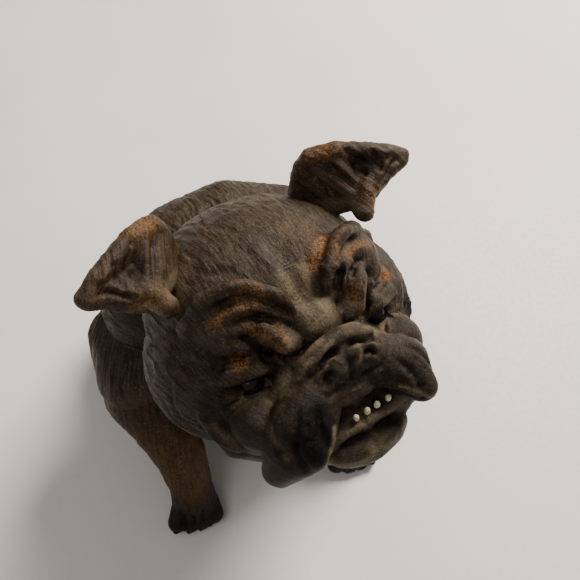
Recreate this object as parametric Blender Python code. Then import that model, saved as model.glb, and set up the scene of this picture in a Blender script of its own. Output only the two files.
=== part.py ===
"""Figural coin bank: a seated bulldog, slush-cast in spelter, with a hinged and locking head.

The frame: metres, +Z up, the dog faces -Y and its left side is +X. The origin lies on the underside of
the base plate, which is also the table. Head and neck ruff form one casting that swings back on a pin
behind the withers; a box lock inside the chest catches a staple under the throat. Lengths below are in
millimetres and angles in degrees; MM turns them into Blender's metres.
"""
import math

import bmesh
import bpy
from mathutils import Euler, Matrix, Vector

MM = 0.001

# ---- driving dimensions ------------------------------------------------------------------------------
WALL = 2.6                       # thickness of the slush-cast shells
GAP = 0.3                        # air between neighbouring pieces
SEAT = 0.7                       # growth of a form that another casting is soldered against
REACH = 200.0                    # longer than the figure: size of the boxes that trim it
VOXEL = 1.1                      # grain of the blended castings

HEAD_CENTRE = (2.3, -13.4, 78.0)
HEAD_YAW, HEAD_PITCH, HEAD_ROLL = 20.5, -27.5, 2.5    # turned to the dog's left, face lifted

SEAM_HEIGHT, SEAM_SLOPE = 54.4, 0.273                 # the neck joint: z = height + slope * y
SEAM_TILT = math.atan(SEAM_SLOPE)
HINGE_Y, LOCK_Y = 39.6, -22.5                         # where the seam carries the hinge and the lock

BASE_CENTRE, BASE_RADII, BASE_THICK = (0, 26), (20.5, 15.5), 1.6
EYE_CENTRE, EYE_RADIUS = (17.0, -20.6, -2.4), 4.6

SLOT_WIDE, SLOT_TALL = 29.0, 3.2                      # coin slot in the upper back
SLOT_CENTRE, SLOT_TILT = (0, 44.5, 55), 35

BARREL_RADIUS, PIN_RADIUS = 2.1, 0.8
BARREL_HALF, KNUCKLE_HALF = 8.0, 2.8                  # half lengths of the barrel and of its middle knuckle
LEAF_REACH, LEAF_THICK = 12.0, 1.2
HINGE_RIVET_U, HINGE_RIVET_V, HINGE_RIVET_RADIUS, HINGE_RIVET_LONG = 5.2, -7.6, 1.0, 4.4

CASE_HALF, CASE_TOP, CASE_FOOT = 11.0, -2.0, -19.0    # lock case across, and along the seam's normal
CASE_FRONT, CASE_BACK, SHEET = -3.6, 2.7, 0.9
KEY_N, KEYHOLE_RADIUS, KEY_SLOT_HALF, KEY_SLOT_FOOT = -11.0, 2.2, 1.0, -15.6
RIB_INNER, RIB_OUTER = 6.9, 11.8                      # cast ribs that carry the lock case

KEY_PIN_RADIUS, KEY_PIN_HEAD, KEY_PIN_FRONT = 0.9, 1.8, -7.5          # head: radius under the cover
PIVOT_U, PIVOT_N, PIVOT_RADIUS, PIVOT_HEAD, PIVOT_FRONT = -5.6, -14.6, 0.8, 1.6, -2.4
RIVET_HEAD_THICK = 0.8

# sheet and wire inside the case, as low and high corners (across, along, square to the joint)
BOLT = ((-9.4, -0.6, -7.6), (3.6, 1.0, -4.0))
BOLT_LEGS = (((-2.9, -0.5, -9.5), (-1.2, 0.9, -7)), ((-7.2, -0.5, -9.5), (-5.6, 0.9, -7)))
LEVER_HUB_RADIUS, LEVER_FRONT, LEVER_BACK = 2.2, 1.25, 2.15
LEVER_ARM = ((-6.8, 1.35, -14), (-4.4, 2.05, -8.5))
LEVER_BAR = ((-7.0, 1.3, -9.7), (3.8, 2.1, -8.1))
SPRING_FOOT = ((-9.6, 1.7, -3.6), (-7.6, 1.7, -4.4))
SPRING_ARM = ((-7.8, 1.7, -4.2), (-1.0, 1.7, -6.8))
SPRING_WIRE = 0.35
STAPLE = ((4.6, -1.7, -9.4), (6.2, 2.1, 5.0))
STAPLE_EYE = ((4.0, -0.9, -8.1), (7.0, 1.3, -3.6))
STAPLE_SLOT = ((4.2, -2.6, -4.0), (6.6, 2.5, 2.0))
STAPLE_PAD = ((1.0, -20, -2), (10.5, 4.5, 7.5))
STAPLE_RIVET_ENDS, STAPLE_RIVET_V, STAPLE_RIVET_N, STAPLE_RIVET_RADIUS = (2.0, 8.8), 0.2, 3.0, 0.7
LOCK_RIVET_U, LOCK_RIVET_N, LOCK_RIVET_RADIUS, LOCK_RIVET_HEAD = 8.7, -10.5, 0.75, 1.1
LOCK_RIVET_TIP = -8.0

ESCUTCHEON_CENTRE, ESCUTCHEON_TILT = (0, -30.7, 33.2), 13.3           # tilt: back from upright
ESCUTCHEON_RADII, ESCUTCHEON_SUNK, ESCUTCHEON_PROUD = (4.8, 6.4), 0.5, 0.4
NAIL_HEIGHT, NAIL_RADIUS, NAIL_DEEP, NAIL_PROUD = 5.2, 0.5, 1.9, 0.7

PAD_HALF, PAD_REACH, PAD_DEEP, PAD_LIP = 11.8, 14.0, 6.0, 5.0         # solid bosses behind the leaves

CENTRING = 2.05                                       # slides the figure until its outline is centred on y

SIDES = {"right": -1, "left": 1}
HEAD_PIECES = ("head_shell", "ear_right", "ear_left", "eye_right", "eye_left", "hinge_leaf_head",
               "hinge_rivet_head_right", "hinge_rivet_head_left", "lock_staple", "staple_rivet")

SPELTER = ((0.085, 0.055, 0.036), 0.55, 0.5)          # colour, metallic, roughness
BRASS = ((0.42, 0.29, 0.11), 0.95, 0.42)
STEEL = ((0.19, 0.18, 0.17), 0.9, 0.45)
TINPLATE = ((0.30, 0.29, 0.27), 0.85, 0.5)
DARK_GLASS = ((0.012, 0.010, 0.009), 0.0, 0.08)


# ---- clay: forms that blend into one skin ------------------------------------------------------------
class Clay:
    """Balls and hulls gathered in one mesh; grow thickens (or, below zero, thins) every form."""

    def __init__(self, grow=0.0, place=Matrix.Identity(4)):
        self.mesh = bmesh.new()
        self.grow = grow
        self.place = place

    def ball(self, centre, radii, turn=(0, 0, 0)):
        size = [max(r + self.grow, 0.5) for r in radii]
        spin = Euler([math.radians(a) for a in turn]).to_matrix().to_4x4()
        matrix = self.place @ Matrix.Translation(centre) @ spin @ Matrix.Diagonal((*size, 1))
        bmesh.ops.create_icosphere(self.mesh, subdivisions=3, radius=1, matrix=matrix)

    def hull(self, *spheres):
        """The tight skin around spheres given as (x, y, z, radius)."""
        shell = bmesh.new()
        for x, y, z, radius in spheres:
            matrix = self.place @ Matrix.Translation((x, y, z))
            size = max(radius + self.grow, 0.4)
            bmesh.ops.create_icosphere(shell, subdivisions=2, radius=size, matrix=matrix)
        done = bmesh.ops.convex_hull(shell, input=shell.verts[:], use_existing_faces=False)
        inner = {v for v in done["geom_interior"] if isinstance(v, bmesh.types.BMVert)}
        bmesh.ops.delete(shell, geom=list(inner), context="VERTS")
        mesh = bpy.data.meshes.new("hull")
        shell.to_mesh(mesh)
        shell.free()
        self.mesh.from_mesh(mesh)
        bpy.data.meshes.remove(mesh)

    def limb(self, *spheres):
        """A chain of hulls from each sphere to the next."""
        for first, second in zip(spheres, spheres[1:]):
            self.hull(first, second)

    def finish(self, name):
        bmesh.ops.scale(self.mesh, vec=(MM, MM, MM), verts=self.mesh.verts)
        bmesh.ops.recalc_face_normals(self.mesh, faces=self.mesh.faces)
        mesh = bpy.data.meshes.new(name)
        self.mesh.to_mesh(mesh)
        self.mesh.free()
        return place_object(name, mesh)


def neck_forms(clay):
    clay.hull((1, 3, 51, 30.5), (2.5, -4, 65, 28))             # neck
    clay.ball((0, -18, 52), (20, 13, 14))                      # dewlap
    clay.hull((0, 27, 64.5, 13.5), (15, 24, 62, 13.5), (-15, 24, 62, 13.5),
              (27, 8, 58, 13.5), (-27, 8, 58, 13.5), (0, 4, 58, 20))       # ruff over the withers


def torso_forms(clay):
    clay.ball((0, -8, 40), (27, 23, 27))                       # chest
    clay.ball((0, 24, 38), (33, 25, 29))                       # back
    clay.ball((0, 28, 26), (33, 25, 27))                       # rump
    clay.hull((17, 15, 5.5, 9.5), (-17, 15, 5.5, 9.5), (17, 36.5, 5.5, 9.5), (-17, 36.5, 5.5, 9.5),
              (0, 26, 20, 18))                                 # the flat seat round the base plate
    for side in SIDES.values():
        clay.hull((37.5 * side, 9, 44, 10), (36.5 * side, -5, 42.5, 10), (32 * side, 3, 28, 15),
                  (24 * side, -2, 44, 9))                      # shoulder
        clay.ball((27 * side, 28, 19), (17, 24, 20))           # haunch


def hind_foot_forms(clay):
    for side in SIDES.values():
        clay.limb((32 * side, 22, 7, 8), (33 * side, 2, 5.5, 6.5))
        for toe in (-1.5, -0.5, 0.5, 1.5):
            clay.limb((33 * side + 2.6 * toe, 1, 4.5, 3.6), (33 * side + 3.6 * toe, -4 + abs(toe), 3.2, 3.1))


def skull_forms(clay):
    clay.ball((0, 3, 5), (29.5, 26, 21))                       # skull
    clay.ball((0, -23, -9), (17, 13, 12))                      # muzzle
    clay.ball((0, -6, -17), (23, 21, 14))                      # throat
    clay.hull((-10, -30, -19.5, 6), (0, -32, -18.6, 6.2), (11.5, -31, -17.6, 6), (0, -26, -22, 6))  # lower jaw
    clay.ball((1, -34, -22.5), (11, 6.5, 5))                   # chin
    clay.ball((0, -22.5, 4.5), (7, 6.5, 6.5))                  # the stop between the brows
    clay.ball((0, -31, -1.5), (7, 5, 5.5))                     # nose
    clay.limb((-9.6, -29, -2, 2.1), (-8.2, -30.4, 2.2, 2.1), (-4.4, -31, 4.6, 2.1), (0, -31, 5.2, 2.1),
              (4.4, -31, 4.6, 2.1), (8.2, -30.4, 2.2, 2.1), (9.6, -29, -2, 2.1))   # the roll over the nose
    for side in SIDES.values():
        clay.ball((21 * side, -4, -6), (14, 19, 17))           # cheek
        clay.ball((20 * side, -25, -11), (6, 6.5, 7))          # the hollow beside the flew
        clay.ball((13.5 * side, -15, 9), (11, 8, 9))           # brow
        clay.ball((5 * side, -32.5, -1.8), (4, 3.4, 3.8))      # nostril wing
        clay.hull((8 * side, -31, -6, 6), (14 * side, -33, -10, 7),
                  (14.5 * side, -38.5, -16.5, 5), (20.5 * side, -28, -20, 6.3))  # flew
        clay.limb((4.5 * side, -23, 7, 2.2), (8 * side, -22, 14, 2.5), (14 * side, -18, 18, 2.6),
                  (20 * side, -14, 16, 2.6), (24 * side, -12, 10, 2.4))      # brow ridge
        clay.limb((7.5 * side, -25, 4, 2.8), (11 * side, -23.5, 7.5, 3.4), (14.5 * side, -22, 6, 2.8))
        clay.limb((11.5 * side, -24.5, 0.5, 1.8), (16 * side, -24.5, 2.6, 2.1), (21 * side, -21.5, 2, 2.3),
                  (25 * side, -17, -2, 2))                     # upper lid
        clay.limb((12 * side, -25.5, -5, 1.6), (17 * side, -24, -7.6, 2.1), (23 * side, -19, -7, 2.2))
        clay.limb((25 * side, -16, -8, 4.5), (23 * side, -20, -16, 5), (15 * side, -22, -22, 5))  # jowl


def carving_forms(clay):
    clay.limb((-15, -38, -17.5, 1.1), (-8, -39, -14, 1.3), (0, -39, -13, 1.3),
              (8, -39, -14, 1.3), (15, -38, -17.5, 1.1))       # mouth
    for side in SIDES.values():
        clay.ball((4.4 * side, -36, -1.6), (1.7, 2.2, 2.1))    # nostril


def front_leg_forms(clay, side):
    back = 6 if side > 0 else 0                                # the left foot stands further back
    clay.limb((35.5 * side, -6, 34, 11), (32 * side, -13 + back / 4, 28, 9.3),
              (27.5 * side, -22.5 + back / 2, 20, 7.8), (26.5 * side, -29.5 + back, 11, 6.6),
              (26.5 * side, -32.5 + back, 5.5, 7.2))
    for toe in (-1.5, -0.5, 0.5, 1.5):
        clay.limb((26.5 * side + 2.6 * toe, -33.5 + back, 4.5, 3.8),
                  (27.1 * side + 3.8 * toe, -39 + back + abs(toe), 3.2, 3.2))


def ear_forms(clay, side):
    clay.hull((18.5 * side, 4.5, 21, 3.2), (20.5 * side, 2, 28.5, 3.2), (26 * side, -3, 29, 3),
              (27.5 * side, -8, 20, 3), (24 * side, 0, 20, 5))             # the upright fold
    clay.limb((20 * side, 3, 27, 3), (21.5 * side, 0.5, 30.6, 2.9), (26.5 * side, -3, 31.2, 2.7),
              (32 * side, -5.5, 29.6, 2.7), (37 * side, -8, 28, 2.6), (41 * side, -9.3, 26, 2.3))  # rolled rim
    clay.hull((41 * side, -9.5, 25.6, 2.1), (36 * side, -9.5, 25.5, 2.4), (31.5 * side, -9.6, 22.5, 2.4),
              (29 * side, -4, 25, 2.6))                        # the lap that hangs outwards
    clay.hull((26.5 * side, -10.8, 17.5, 2.6), (28.5 * side, -10.2, 21.5, 2.2), (31 * side, -8.5, 24, 2.2),
              (28 * side, -5, 22, 2.6))                        # the front of the cup
    clay.limb((30 * side, -6, 19, 3), (34 * side, -7, 21, 2.4), (37.5 * side, -8, 23.6, 2.1))


def tail_forms(clay):
    clay.limb((0, 48, 16, 4.2), (3, 54, 13, 3.8), (9, 55, 10, 3.2), (13, 51.5, 8, 2.4))


# ---- making objects ----------------------------------------------------------------------------------
def place_object(name, mesh):
    made = bpy.data.objects.new(name, mesh)
    bpy.context.scene.collection.objects.link(made)
    return made


def blend(made, voxel=VOXEL, rounds=5, ratio=0.2):
    """Fuses an object's forms into one skin, softens its creases and thins the mesh."""
    fuse = made.modifiers.new("fuse", "REMESH")
    fuse.mode = "VOXEL"
    fuse.voxel_size = voxel * MM
    soften = made.modifiers.new("soften", "SMOOTH")
    soften.factor = 0.5
    soften.iterations = rounds
    thin = made.modifiers.new("thin", "DECIMATE")
    thin.ratio = ratio
    return made


def set_origin(made, point):
    made.data.transform(Matrix.Translation(-point))
    made.location = point


def shape(target, tool, operation):
    step = target.modifiers.new(operation.lower() + "_" + tool.name, "BOOLEAN")
    step.operation = operation
    step.solver = "EXACT"
    step.object = tool
    tool.hide_render = True
    tool.display_type = "WIRE"


def cut(target, *tools):
    for tool in tools:
        shape(target, tool, "DIFFERENCE")


def join(target, *tools):
    for tool in tools:
        shape(target, tool, "UNION")


def finish(made, look, smooth=True):
    colour, metallic, roughness = look
    material = bpy.data.materials.new(made.name + "_material")
    material.use_nodes = True
    surface = material.node_tree.nodes["Principled BSDF"]
    surface.inputs["Base Color"].default_value = (*colour, 1)
    surface.inputs["Metallic"].default_value = metallic
    surface.inputs["Roughness"].default_value = roughness
    made.data.materials.append(material)
    if smooth:
        made.data.shade_smooth()


# ---- plain metal shapes in a tilted frame ------------------------------------------------------------
def seam_frame(y):
    """A frame on the neck joint: u across, v backwards along the joint, n square to it."""
    origin = Vector((0, y, SEAM_HEIGHT + SEAM_SLOPE * y))
    return Matrix.Scale(MM, 4) @ Matrix.Translation(origin) @ Matrix.Rotation(SEAM_TILT, 4, "X")


def box(name, frame, low, high):
    low, high = Vector(low), Vector(high)
    shell = bmesh.new()
    matrix = frame @ Matrix.Translation((low + high) / 2) @ Matrix.Diagonal((*(high - low), 1))
    bmesh.ops.create_cube(shell, size=1, matrix=matrix)
    mesh = bpy.data.meshes.new(name)
    shell.to_mesh(mesh)
    shell.free()
    return place_object(name, mesh)


def rod(name, frame, start, end, radius, segments=20):
    start, end = Vector(start), Vector(end)
    turn = (end - start).to_track_quat("Z", "Y").to_matrix().to_4x4()
    shell = bmesh.new()
    bmesh.ops.create_cone(shell, cap_ends=True, segments=segments, radius1=radius, radius2=radius,
                          depth=(end - start).length,
                          matrix=frame @ Matrix.Translation((start + end) / 2) @ turn)
    mesh = bpy.data.meshes.new(name)
    shell.to_mesh(mesh)
    shell.free()
    return place_object(name, mesh)


def oval(name, frame, centre, radii, low, high, segments=40):
    made = rod(name, frame @ Matrix.Translation(centre) @ Matrix.Diagonal((*radii, 1, 1)),
               (0, 0, low), (0, 0, high), 1, segments)
    return made


def eyeball(name, frame, side, radius):
    shell = bmesh.new()
    x, y, z = EYE_CENTRE
    bmesh.ops.create_icosphere(shell, subdivisions=3, radius=radius,
                               matrix=frame @ Matrix.Translation((x * side, y, z)))
    mesh = bpy.data.meshes.new(name)
    shell.to_mesh(mesh)
    shell.free()
    return place_object(name, mesh)


# ---- the assembly ------------------------------------------------------------------------------------
def head_matrix():
    turn = (Matrix.Rotation(math.radians(HEAD_YAW), 4, "Z")
            @ Matrix.Rotation(math.radians(HEAD_PITCH), 4, "X")
            @ Matrix.Rotation(math.radians(HEAD_ROLL), 4, "Y"))
    return Matrix.Translation(HEAD_CENTRE) @ turn


def body_figure(name, grow=0.0, feet=True):
    clay = Clay(grow)
    neck_forms(clay)
    torso_forms(clay)
    if feet:
        hind_foot_forms(clay)
    return clay.finish(name)


def head_figure(name, grow=0.0):
    clay = Clay(grow)
    neck_forms(clay)
    clay.place = head_matrix()
    skull_forms(clay)
    return clay.finish(name)


def main():
    for old in list(bpy.data.objects):
        bpy.data.objects.remove(old)
    world = Matrix.Scale(MM, 4)
    skull = head_matrix()
    skull_frame = world @ skull
    hinge = seam_frame(HINGE_Y)
    lock = seam_frame(LOCK_Y)

    # trimming boxes: the table, and the two sides of the neck joint
    below_table = box("below_table", world, (-REACH, -REACH, -REACH), (REACH, REACH, 0))
    above_seam = box("above_seam", hinge, (-REACH, -REACH, -GAP / 2), (REACH, REACH, REACH))
    below_seam = box("below_seam", hinge, (-REACH, -REACH, -REACH), (REACH, REACH, GAP / 2))

    # body casting
    body = blend(body_figure("body_shell"), ratio=0.042)
    body_hollow = blend(body_figure("body_hollow", -WALL, feet=False), ratio=0.03)
    hinge_pad_body = box("hinge_pad_body", hinge, (-PAD_HALF, -PAD_REACH, -PAD_DEEP), (PAD_HALF, PAD_LIP, PAD_LIP))
    ribs = [box("lock_rib_" + name, lock, (min(RIB_INNER * s, RIB_OUTER * s), -20, -18.6),
                (max(RIB_INNER * s, RIB_OUTER * s), CASE_FRONT - GAP, 2)) for name, s in SIDES.items()]
    floor = box("floor", world, (-REACH, -REACH, -REACH), (REACH, REACH, WALL))
    cut(body_hollow, floor, hinge_pad_body, *ribs)
    slot_frame = (world @ Matrix.Translation(SLOT_CENTRE)
                  @ Matrix.Rotation(math.radians(SLOT_TILT), 4, "X"))
    slot = box("coin_slot", slot_frame, (-SLOT_WIDE / 2, -12, -SLOT_TALL / 2), (SLOT_WIDE / 2, 12, SLOT_TALL / 2))
    base_hole = oval("base_hole", world, (*BASE_CENTRE, 0), [r + GAP for r in BASE_RADII], -5, 6)

    # base plate, closing the hole the slush was poured out of
    base = oval("base_plate", world, (*BASE_CENTRE, 0), BASE_RADII, 0, BASE_THICK)

    # head casting
    head = blend(head_figure("head_shell"), ratio=0.075)
    head_hollow = blend(head_figure("head_hollow", -WALL - 0.8), ratio=0.03)
    hinge_pad_head = box("hinge_pad_head", hinge, (-PAD_HALF, -PAD_REACH, -PAD_LIP), (PAD_HALF, PAD_LIP, PAD_DEEP))
    staple_pad = box("staple_pad", lock, *STAPLE_PAD)
    cut(head_hollow, hinge_pad_head, staple_pad)

    cut(body, above_seam, body_hollow, below_table, base_hole, slot)
    carving = Clay(place=skull)
    carving_forms(carving)
    cut(head, below_seam, head_hollow, blend(carving.finish("carving"), 0.6, 2, 0.12))

    # hinge: two brass leaves riveted to the pads, one steel pin
    barrel_room = rod("barrel_room", hinge, (-BARREL_HALF - GAP, 0, 0), (BARREL_HALF + GAP, 0, 0),
                      BARREL_RADIUS + GAP, 24)
    cut(body, barrel_room)
    cut(head, barrel_room)
    pin_room = rod("pin_room", hinge, (-BARREL_HALF - 2, 0, 0), (BARREL_HALF + 2, 0, 0), PIN_RADIUS + GAP)
    leaves = {"body": -1, "head": 1}
    for part, up in leaves.items():
        near, far = sorted((up * GAP, up * (GAP + LEAF_THICK)))
        leaf = box("hinge_leaf_" + part, hinge, (-BARREL_HALF + 0.2, -LEAF_REACH, near), (BARREL_HALF - 0.2, 0, far))
        spans = [(-KNUCKLE_HALF, KNUCKLE_HALF)]
        others = [(-BARREL_HALF - 1, -KNUCKLE_HALF - 0.1), (KNUCKLE_HALF + 0.1, BARREL_HALF + 1)]
        if part == "body":
            spans = [(-BARREL_HALF, -KNUCKLE_HALF - GAP), (KNUCKLE_HALF + GAP, BARREL_HALF)]
            others = [(-KNUCKLE_HALF - GAP - 0.1, KNUCKLE_HALF + GAP + 0.1)]
        for index, (start, end) in enumerate(others):
            notch = box(f"notch_{part}_{index}", hinge, (start, -BARREL_RADIUS - GAP, -4), (end, 4, 4))
            cut(leaf, notch)
        for index, (start, end) in enumerate(spans):
            join(leaf, rod(f"knuckle_{part}_{index}", hinge, (start, 0, 0), (end, 0, 0), BARREL_RADIUS, 24))
        cut(leaf, pin_room)
        room_near, room_far = sorted((-up * 2, up * (2 * GAP + LEAF_THICK)))
        leaf_room = box("leaf_room_" + part, hinge, (-BARREL_HALF - GAP, -LEAF_REACH - GAP, room_near),
                        (BARREL_HALF + GAP, 6, room_far))
        casting = body if part == "body" else head
        cut(casting, leaf_room)
        for name, side in SIDES.items():
            foot = (HINGE_RIVET_U * side, HINGE_RIVET_V, up * GAP)
            tip = (HINGE_RIVET_U * side, HINGE_RIVET_V, up * (GAP + HINGE_RIVET_LONG))
            room_tip = (HINGE_RIVET_U * side, HINGE_RIVET_V, up * (2 * GAP + HINGE_RIVET_LONG))
            rivet = rod(f"hinge_rivet_{part}_{name}", hinge, foot, tip, HINGE_RIVET_RADIUS, 16)
            room = rod(f"hinge_rivet_room_{part}_{name}", hinge, (foot[0], foot[1], -up), room_tip,
                       HINGE_RIVET_RADIUS + GAP, 16)
            cut(leaf, room)
            cut(casting, room)
            finish(rivet, BRASS)
        finish(leaf, BRASS)
    pin = rod("hinge_pin", hinge, (-BARREL_HALF - 0.6, 0, 0), (BARREL_HALF + 0.6, 0, 0), PIN_RADIUS)
    finish(pin, STEEL)

    # lock case and cover, with the key's pin and the lever's pivot riveted through the cover
    case = box("lock_case", lock, (-CASE_HALF, CASE_FRONT, CASE_FOOT), (CASE_HALF, CASE_BACK, CASE_TOP))
    case_room = box("case_room", lock, (-CASE_HALF + SHEET, CASE_FRONT + SHEET, CASE_FOOT + SHEET),
                    (CASE_HALF - SHEET, CASE_BACK + 2, CASE_TOP - SHEET))
    staple_slot = box("staple_slot", lock, *STAPLE_SLOT)
    keyhole = rod("keyhole", lock, (0, -30, KEY_N), (0, CASE_FRONT + 2, KEY_N), KEYHOLE_RADIUS, 24)
    key_slot = box("key_slot", lock, (-KEY_SLOT_HALF, -30, KEY_SLOT_FOOT),
                   (KEY_SLOT_HALF, CASE_FRONT + 2, KEY_N))
    cut(case, case_room, staple_slot, keyhole, key_slot)
    cover = box("lock_cover", lock, (-CASE_HALF, CASE_BACK + GAP, CASE_FOOT),
                (CASE_HALF, CASE_BACK + GAP + SHEET, CASE_TOP))
    back = CASE_BACK + 2 * GAP + SHEET
    key_pin = rod("key_pin", lock, (0, KEY_PIN_FRONT, KEY_N), (0, back + 0.4, KEY_N), KEY_PIN_RADIUS, 16)
    join(key_pin, rod("key_pin_head", lock, (0, back, KEY_N), (0, back + RIVET_HEAD_THICK, KEY_N), KEY_PIN_HEAD, 16))
    key_pin_room = rod("key_pin_room", lock, (0, 0, KEY_N), (0, back + 4, KEY_N), KEY_PIN_RADIUS + GAP, 16)
    pivot = rod("lever_pivot", lock, (PIVOT_U, PIVOT_FRONT, PIVOT_N), (PIVOT_U, back + 0.4, PIVOT_N), PIVOT_RADIUS, 16)
    join(pivot, rod("lever_pivot_head", lock, (PIVOT_U, back, PIVOT_N), (PIVOT_U, back + RIVET_HEAD_THICK, PIVOT_N),
                    PIVOT_HEAD, 16))
    pivot_room = rod("lever_pivot_room", lock, (PIVOT_U, PIVOT_FRONT - 0.1, PIVOT_N), (PIVOT_U, back + 4, PIVOT_N),
                     PIVOT_RADIUS + GAP, 16)
    cut(cover, key_pin_room, pivot_room)

    # bolt: slides along u behind the case front; its two legs are thrown by the key
    bolt = box("lock_bolt", lock, *BOLT)
    join(bolt, *[box(f"bolt_leg_{index}", lock, *leg) for index, leg in enumerate(BOLT_LEGS)])

    # lever: swings on its pivot above the key's pin; the spring bears on its end
    lever = rod("lock_lever", lock, (PIVOT_U, LEVER_FRONT, PIVOT_N), (PIVOT_U, LEVER_BACK, PIVOT_N), LEVER_HUB_RADIUS)
    join(lever, box("lever_arm", lock, *LEVER_ARM), box("lever_bar", lock, *LEVER_BAR))
    cut(lever, pivot_room)
    spring = rod("lever_spring", lock, *SPRING_FOOT, SPRING_WIRE, 12)
    join(spring, rod("spring_arm", lock, *SPRING_ARM, SPRING_WIRE, 12))

    # rivets that hold the case to the cast ribs
    inside = CASE_FRONT + SHEET + GAP
    for name, side in SIDES.items():
        u = LOCK_RIVET_U * side
        rivet = rod("lock_rivet_" + name, lock, (u, LOCK_RIVET_TIP, LOCK_RIVET_N), (u, inside + 0.1, LOCK_RIVET_N),
                    LOCK_RIVET_RADIUS, 16)
        join(rivet, rod("lock_rivet_head_" + name, lock, (u, inside, LOCK_RIVET_N),
                        (u, inside + 0.9 * RIVET_HEAD_THICK, LOCK_RIVET_N), LOCK_RIVET_HEAD, 16))
        rivet_room = rod("lock_rivet_room_" + name, lock, (u, LOCK_RIVET_TIP - GAP, LOCK_RIVET_N),
                         (u, inside + GAP, LOCK_RIVET_N), LOCK_RIVET_RADIUS + GAP, 16)
        cut(body, rivet_room)
        cut(case, rivet_room)
        finish(rivet, BRASS)

    # staple under the throat, riveted into the head
    staple = box("lock_staple", lock, *STAPLE)
    low, high = Vector(STAPLE[0]), Vector(STAPLE[1])
    loose = Vector((GAP, GAP, GAP))
    staple_room = box("staple_room", lock, (low.x - GAP, low.y - GAP, -3), high + loose)
    start, end = STAPLE_RIVET_ENDS
    staple_rivet = rod("staple_rivet", lock, (start, STAPLE_RIVET_V, STAPLE_RIVET_N), (end, STAPLE_RIVET_V, STAPLE_RIVET_N),
                       STAPLE_RIVET_RADIUS, 16)
    staple_rivet_room = rod("staple_rivet_room", lock, (start - GAP, STAPLE_RIVET_V, STAPLE_RIVET_N),
                            (end + GAP, STAPLE_RIVET_V, STAPLE_RIVET_N), STAPLE_RIVET_RADIUS + GAP, 16)
    cut(staple, box("staple_eye", lock, *STAPLE_EYE), staple_rivet_room)
    cut(head, staple_room, staple_rivet_room)

    # escutcheon on the chest and its two pins
    face = (world @ Matrix.Translation(ESCUTCHEON_CENTRE)
            @ Matrix.Rotation(math.radians(90 + ESCUTCHEON_TILT), 4, "X"))
    escutcheon = oval("keyhole_escutcheon", face, (0, 0, 0), ESCUTCHEON_RADII, -ESCUTCHEON_SUNK, ESCUTCHEON_PROUD, 32)
    escutcheon_room = oval("escutcheon_room", face, (0, 0, 0), [r + GAP for r in ESCUTCHEON_RADII],
                           -ESCUTCHEON_SUNK - GAP, 8, 32)
    cut(body, escutcheon_room, keyhole, key_slot)
    cut(escutcheon, keyhole, key_slot)
    for name, side in {"upper": 1, "lower": -1}.items():
        height = NAIL_HEIGHT * side
        nail = rod("escutcheon_pin_" + name, face, (0, height, -NAIL_DEEP), (0, height, NAIL_PROUD), NAIL_RADIUS, 12)
        nail_room = rod("escutcheon_pin_room_" + name, face, (0, height, -NAIL_DEEP - GAP), (0, height, 2),
                        NAIL_RADIUS + GAP, 12)
        cut(body, nail_room)
        cut(escutcheon, nail_room)
        finish(nail, BRASS)

    # legs, tail and ears: cast apart and soldered on
    torso_seat = blend(body_figure("torso_seat", SEAT), ratio=0.02)
    head_seat = blend(head_figure("head_seat", SEAT), ratio=0.02)
    for name, side in SIDES.items():
        leg_clay = Clay()
        front_leg_forms(leg_clay, side)
        leg = blend(leg_clay.finish("front_leg_" + name), 0.9, 3, 0.1)
        cut(leg, torso_seat, below_table)
        ear_clay = Clay(place=skull)
        ear_forms(ear_clay, side)
        ear = blend(ear_clay.finish("ear_" + name), 0.8, 3, 0.1)
        cut(ear, head_seat)
        eye = eyeball("eye_" + name, skull_frame, side, EYE_RADIUS)
        cut(head, eyeball("eye_room_" + name, skull_frame, side, EYE_RADIUS + GAP))
        finish(leg, SPELTER)
        finish(ear, SPELTER)
        finish(eye, DARK_GLASS)
    tail_clay = Clay()
    tail_forms(tail_clay)
    tail = blend(tail_clay.finish("tail"), 0.8, 3, 0.14)
    cut(tail, torso_seat, below_table)

    for casting in (body, head, tail):
        finish(casting, SPELTER)
    finish(base, TINPLATE, smooth=False)
    for part in (case, cover):
        finish(part, TINPLATE, smooth=False)
    for part in (bolt, lever, staple):
        finish(part, STEEL, smooth=False)
    for part in (key_pin, pivot, spring, staple_rivet):
        finish(part, STEEL)
    finish(escutcheon, BRASS, smooth=False)

    # moving pieces turn about their own origins; the whole figure is centred over the table's origin
    for name in HEAD_PIECES:
        set_origin(bpy.data.objects[name], hinge @ Vector((0, 0, 0)))
    set_origin(bolt, lock @ Vector((0, 0, 0)))
    set_origin(lever, lock @ Vector((PIVOT_U, 0, PIVOT_N)))
    for each in bpy.data.objects:
        each.location.y += CENTRING * MM


main()
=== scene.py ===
"""Looks of the bulldog coin bank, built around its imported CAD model.

Metres, +Z up, the dog faces -Y. The castings are modelled again as fine skins: the same forms as the CAD
solids, blended at a finer grain, then carved with strokes (ridges, creases, fur) and painted by
procedural materials that read what the carving left on each point. Lengths in the modelling parts are
millimetres; MM turns them into metres.
"""

import math

import bmesh
import bpy
import numpy as np
from mathutils import Euler, Matrix, Vector
from mathutils.bvhtree import BVHTree
from mathutils.kdtree import KDTree


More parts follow.
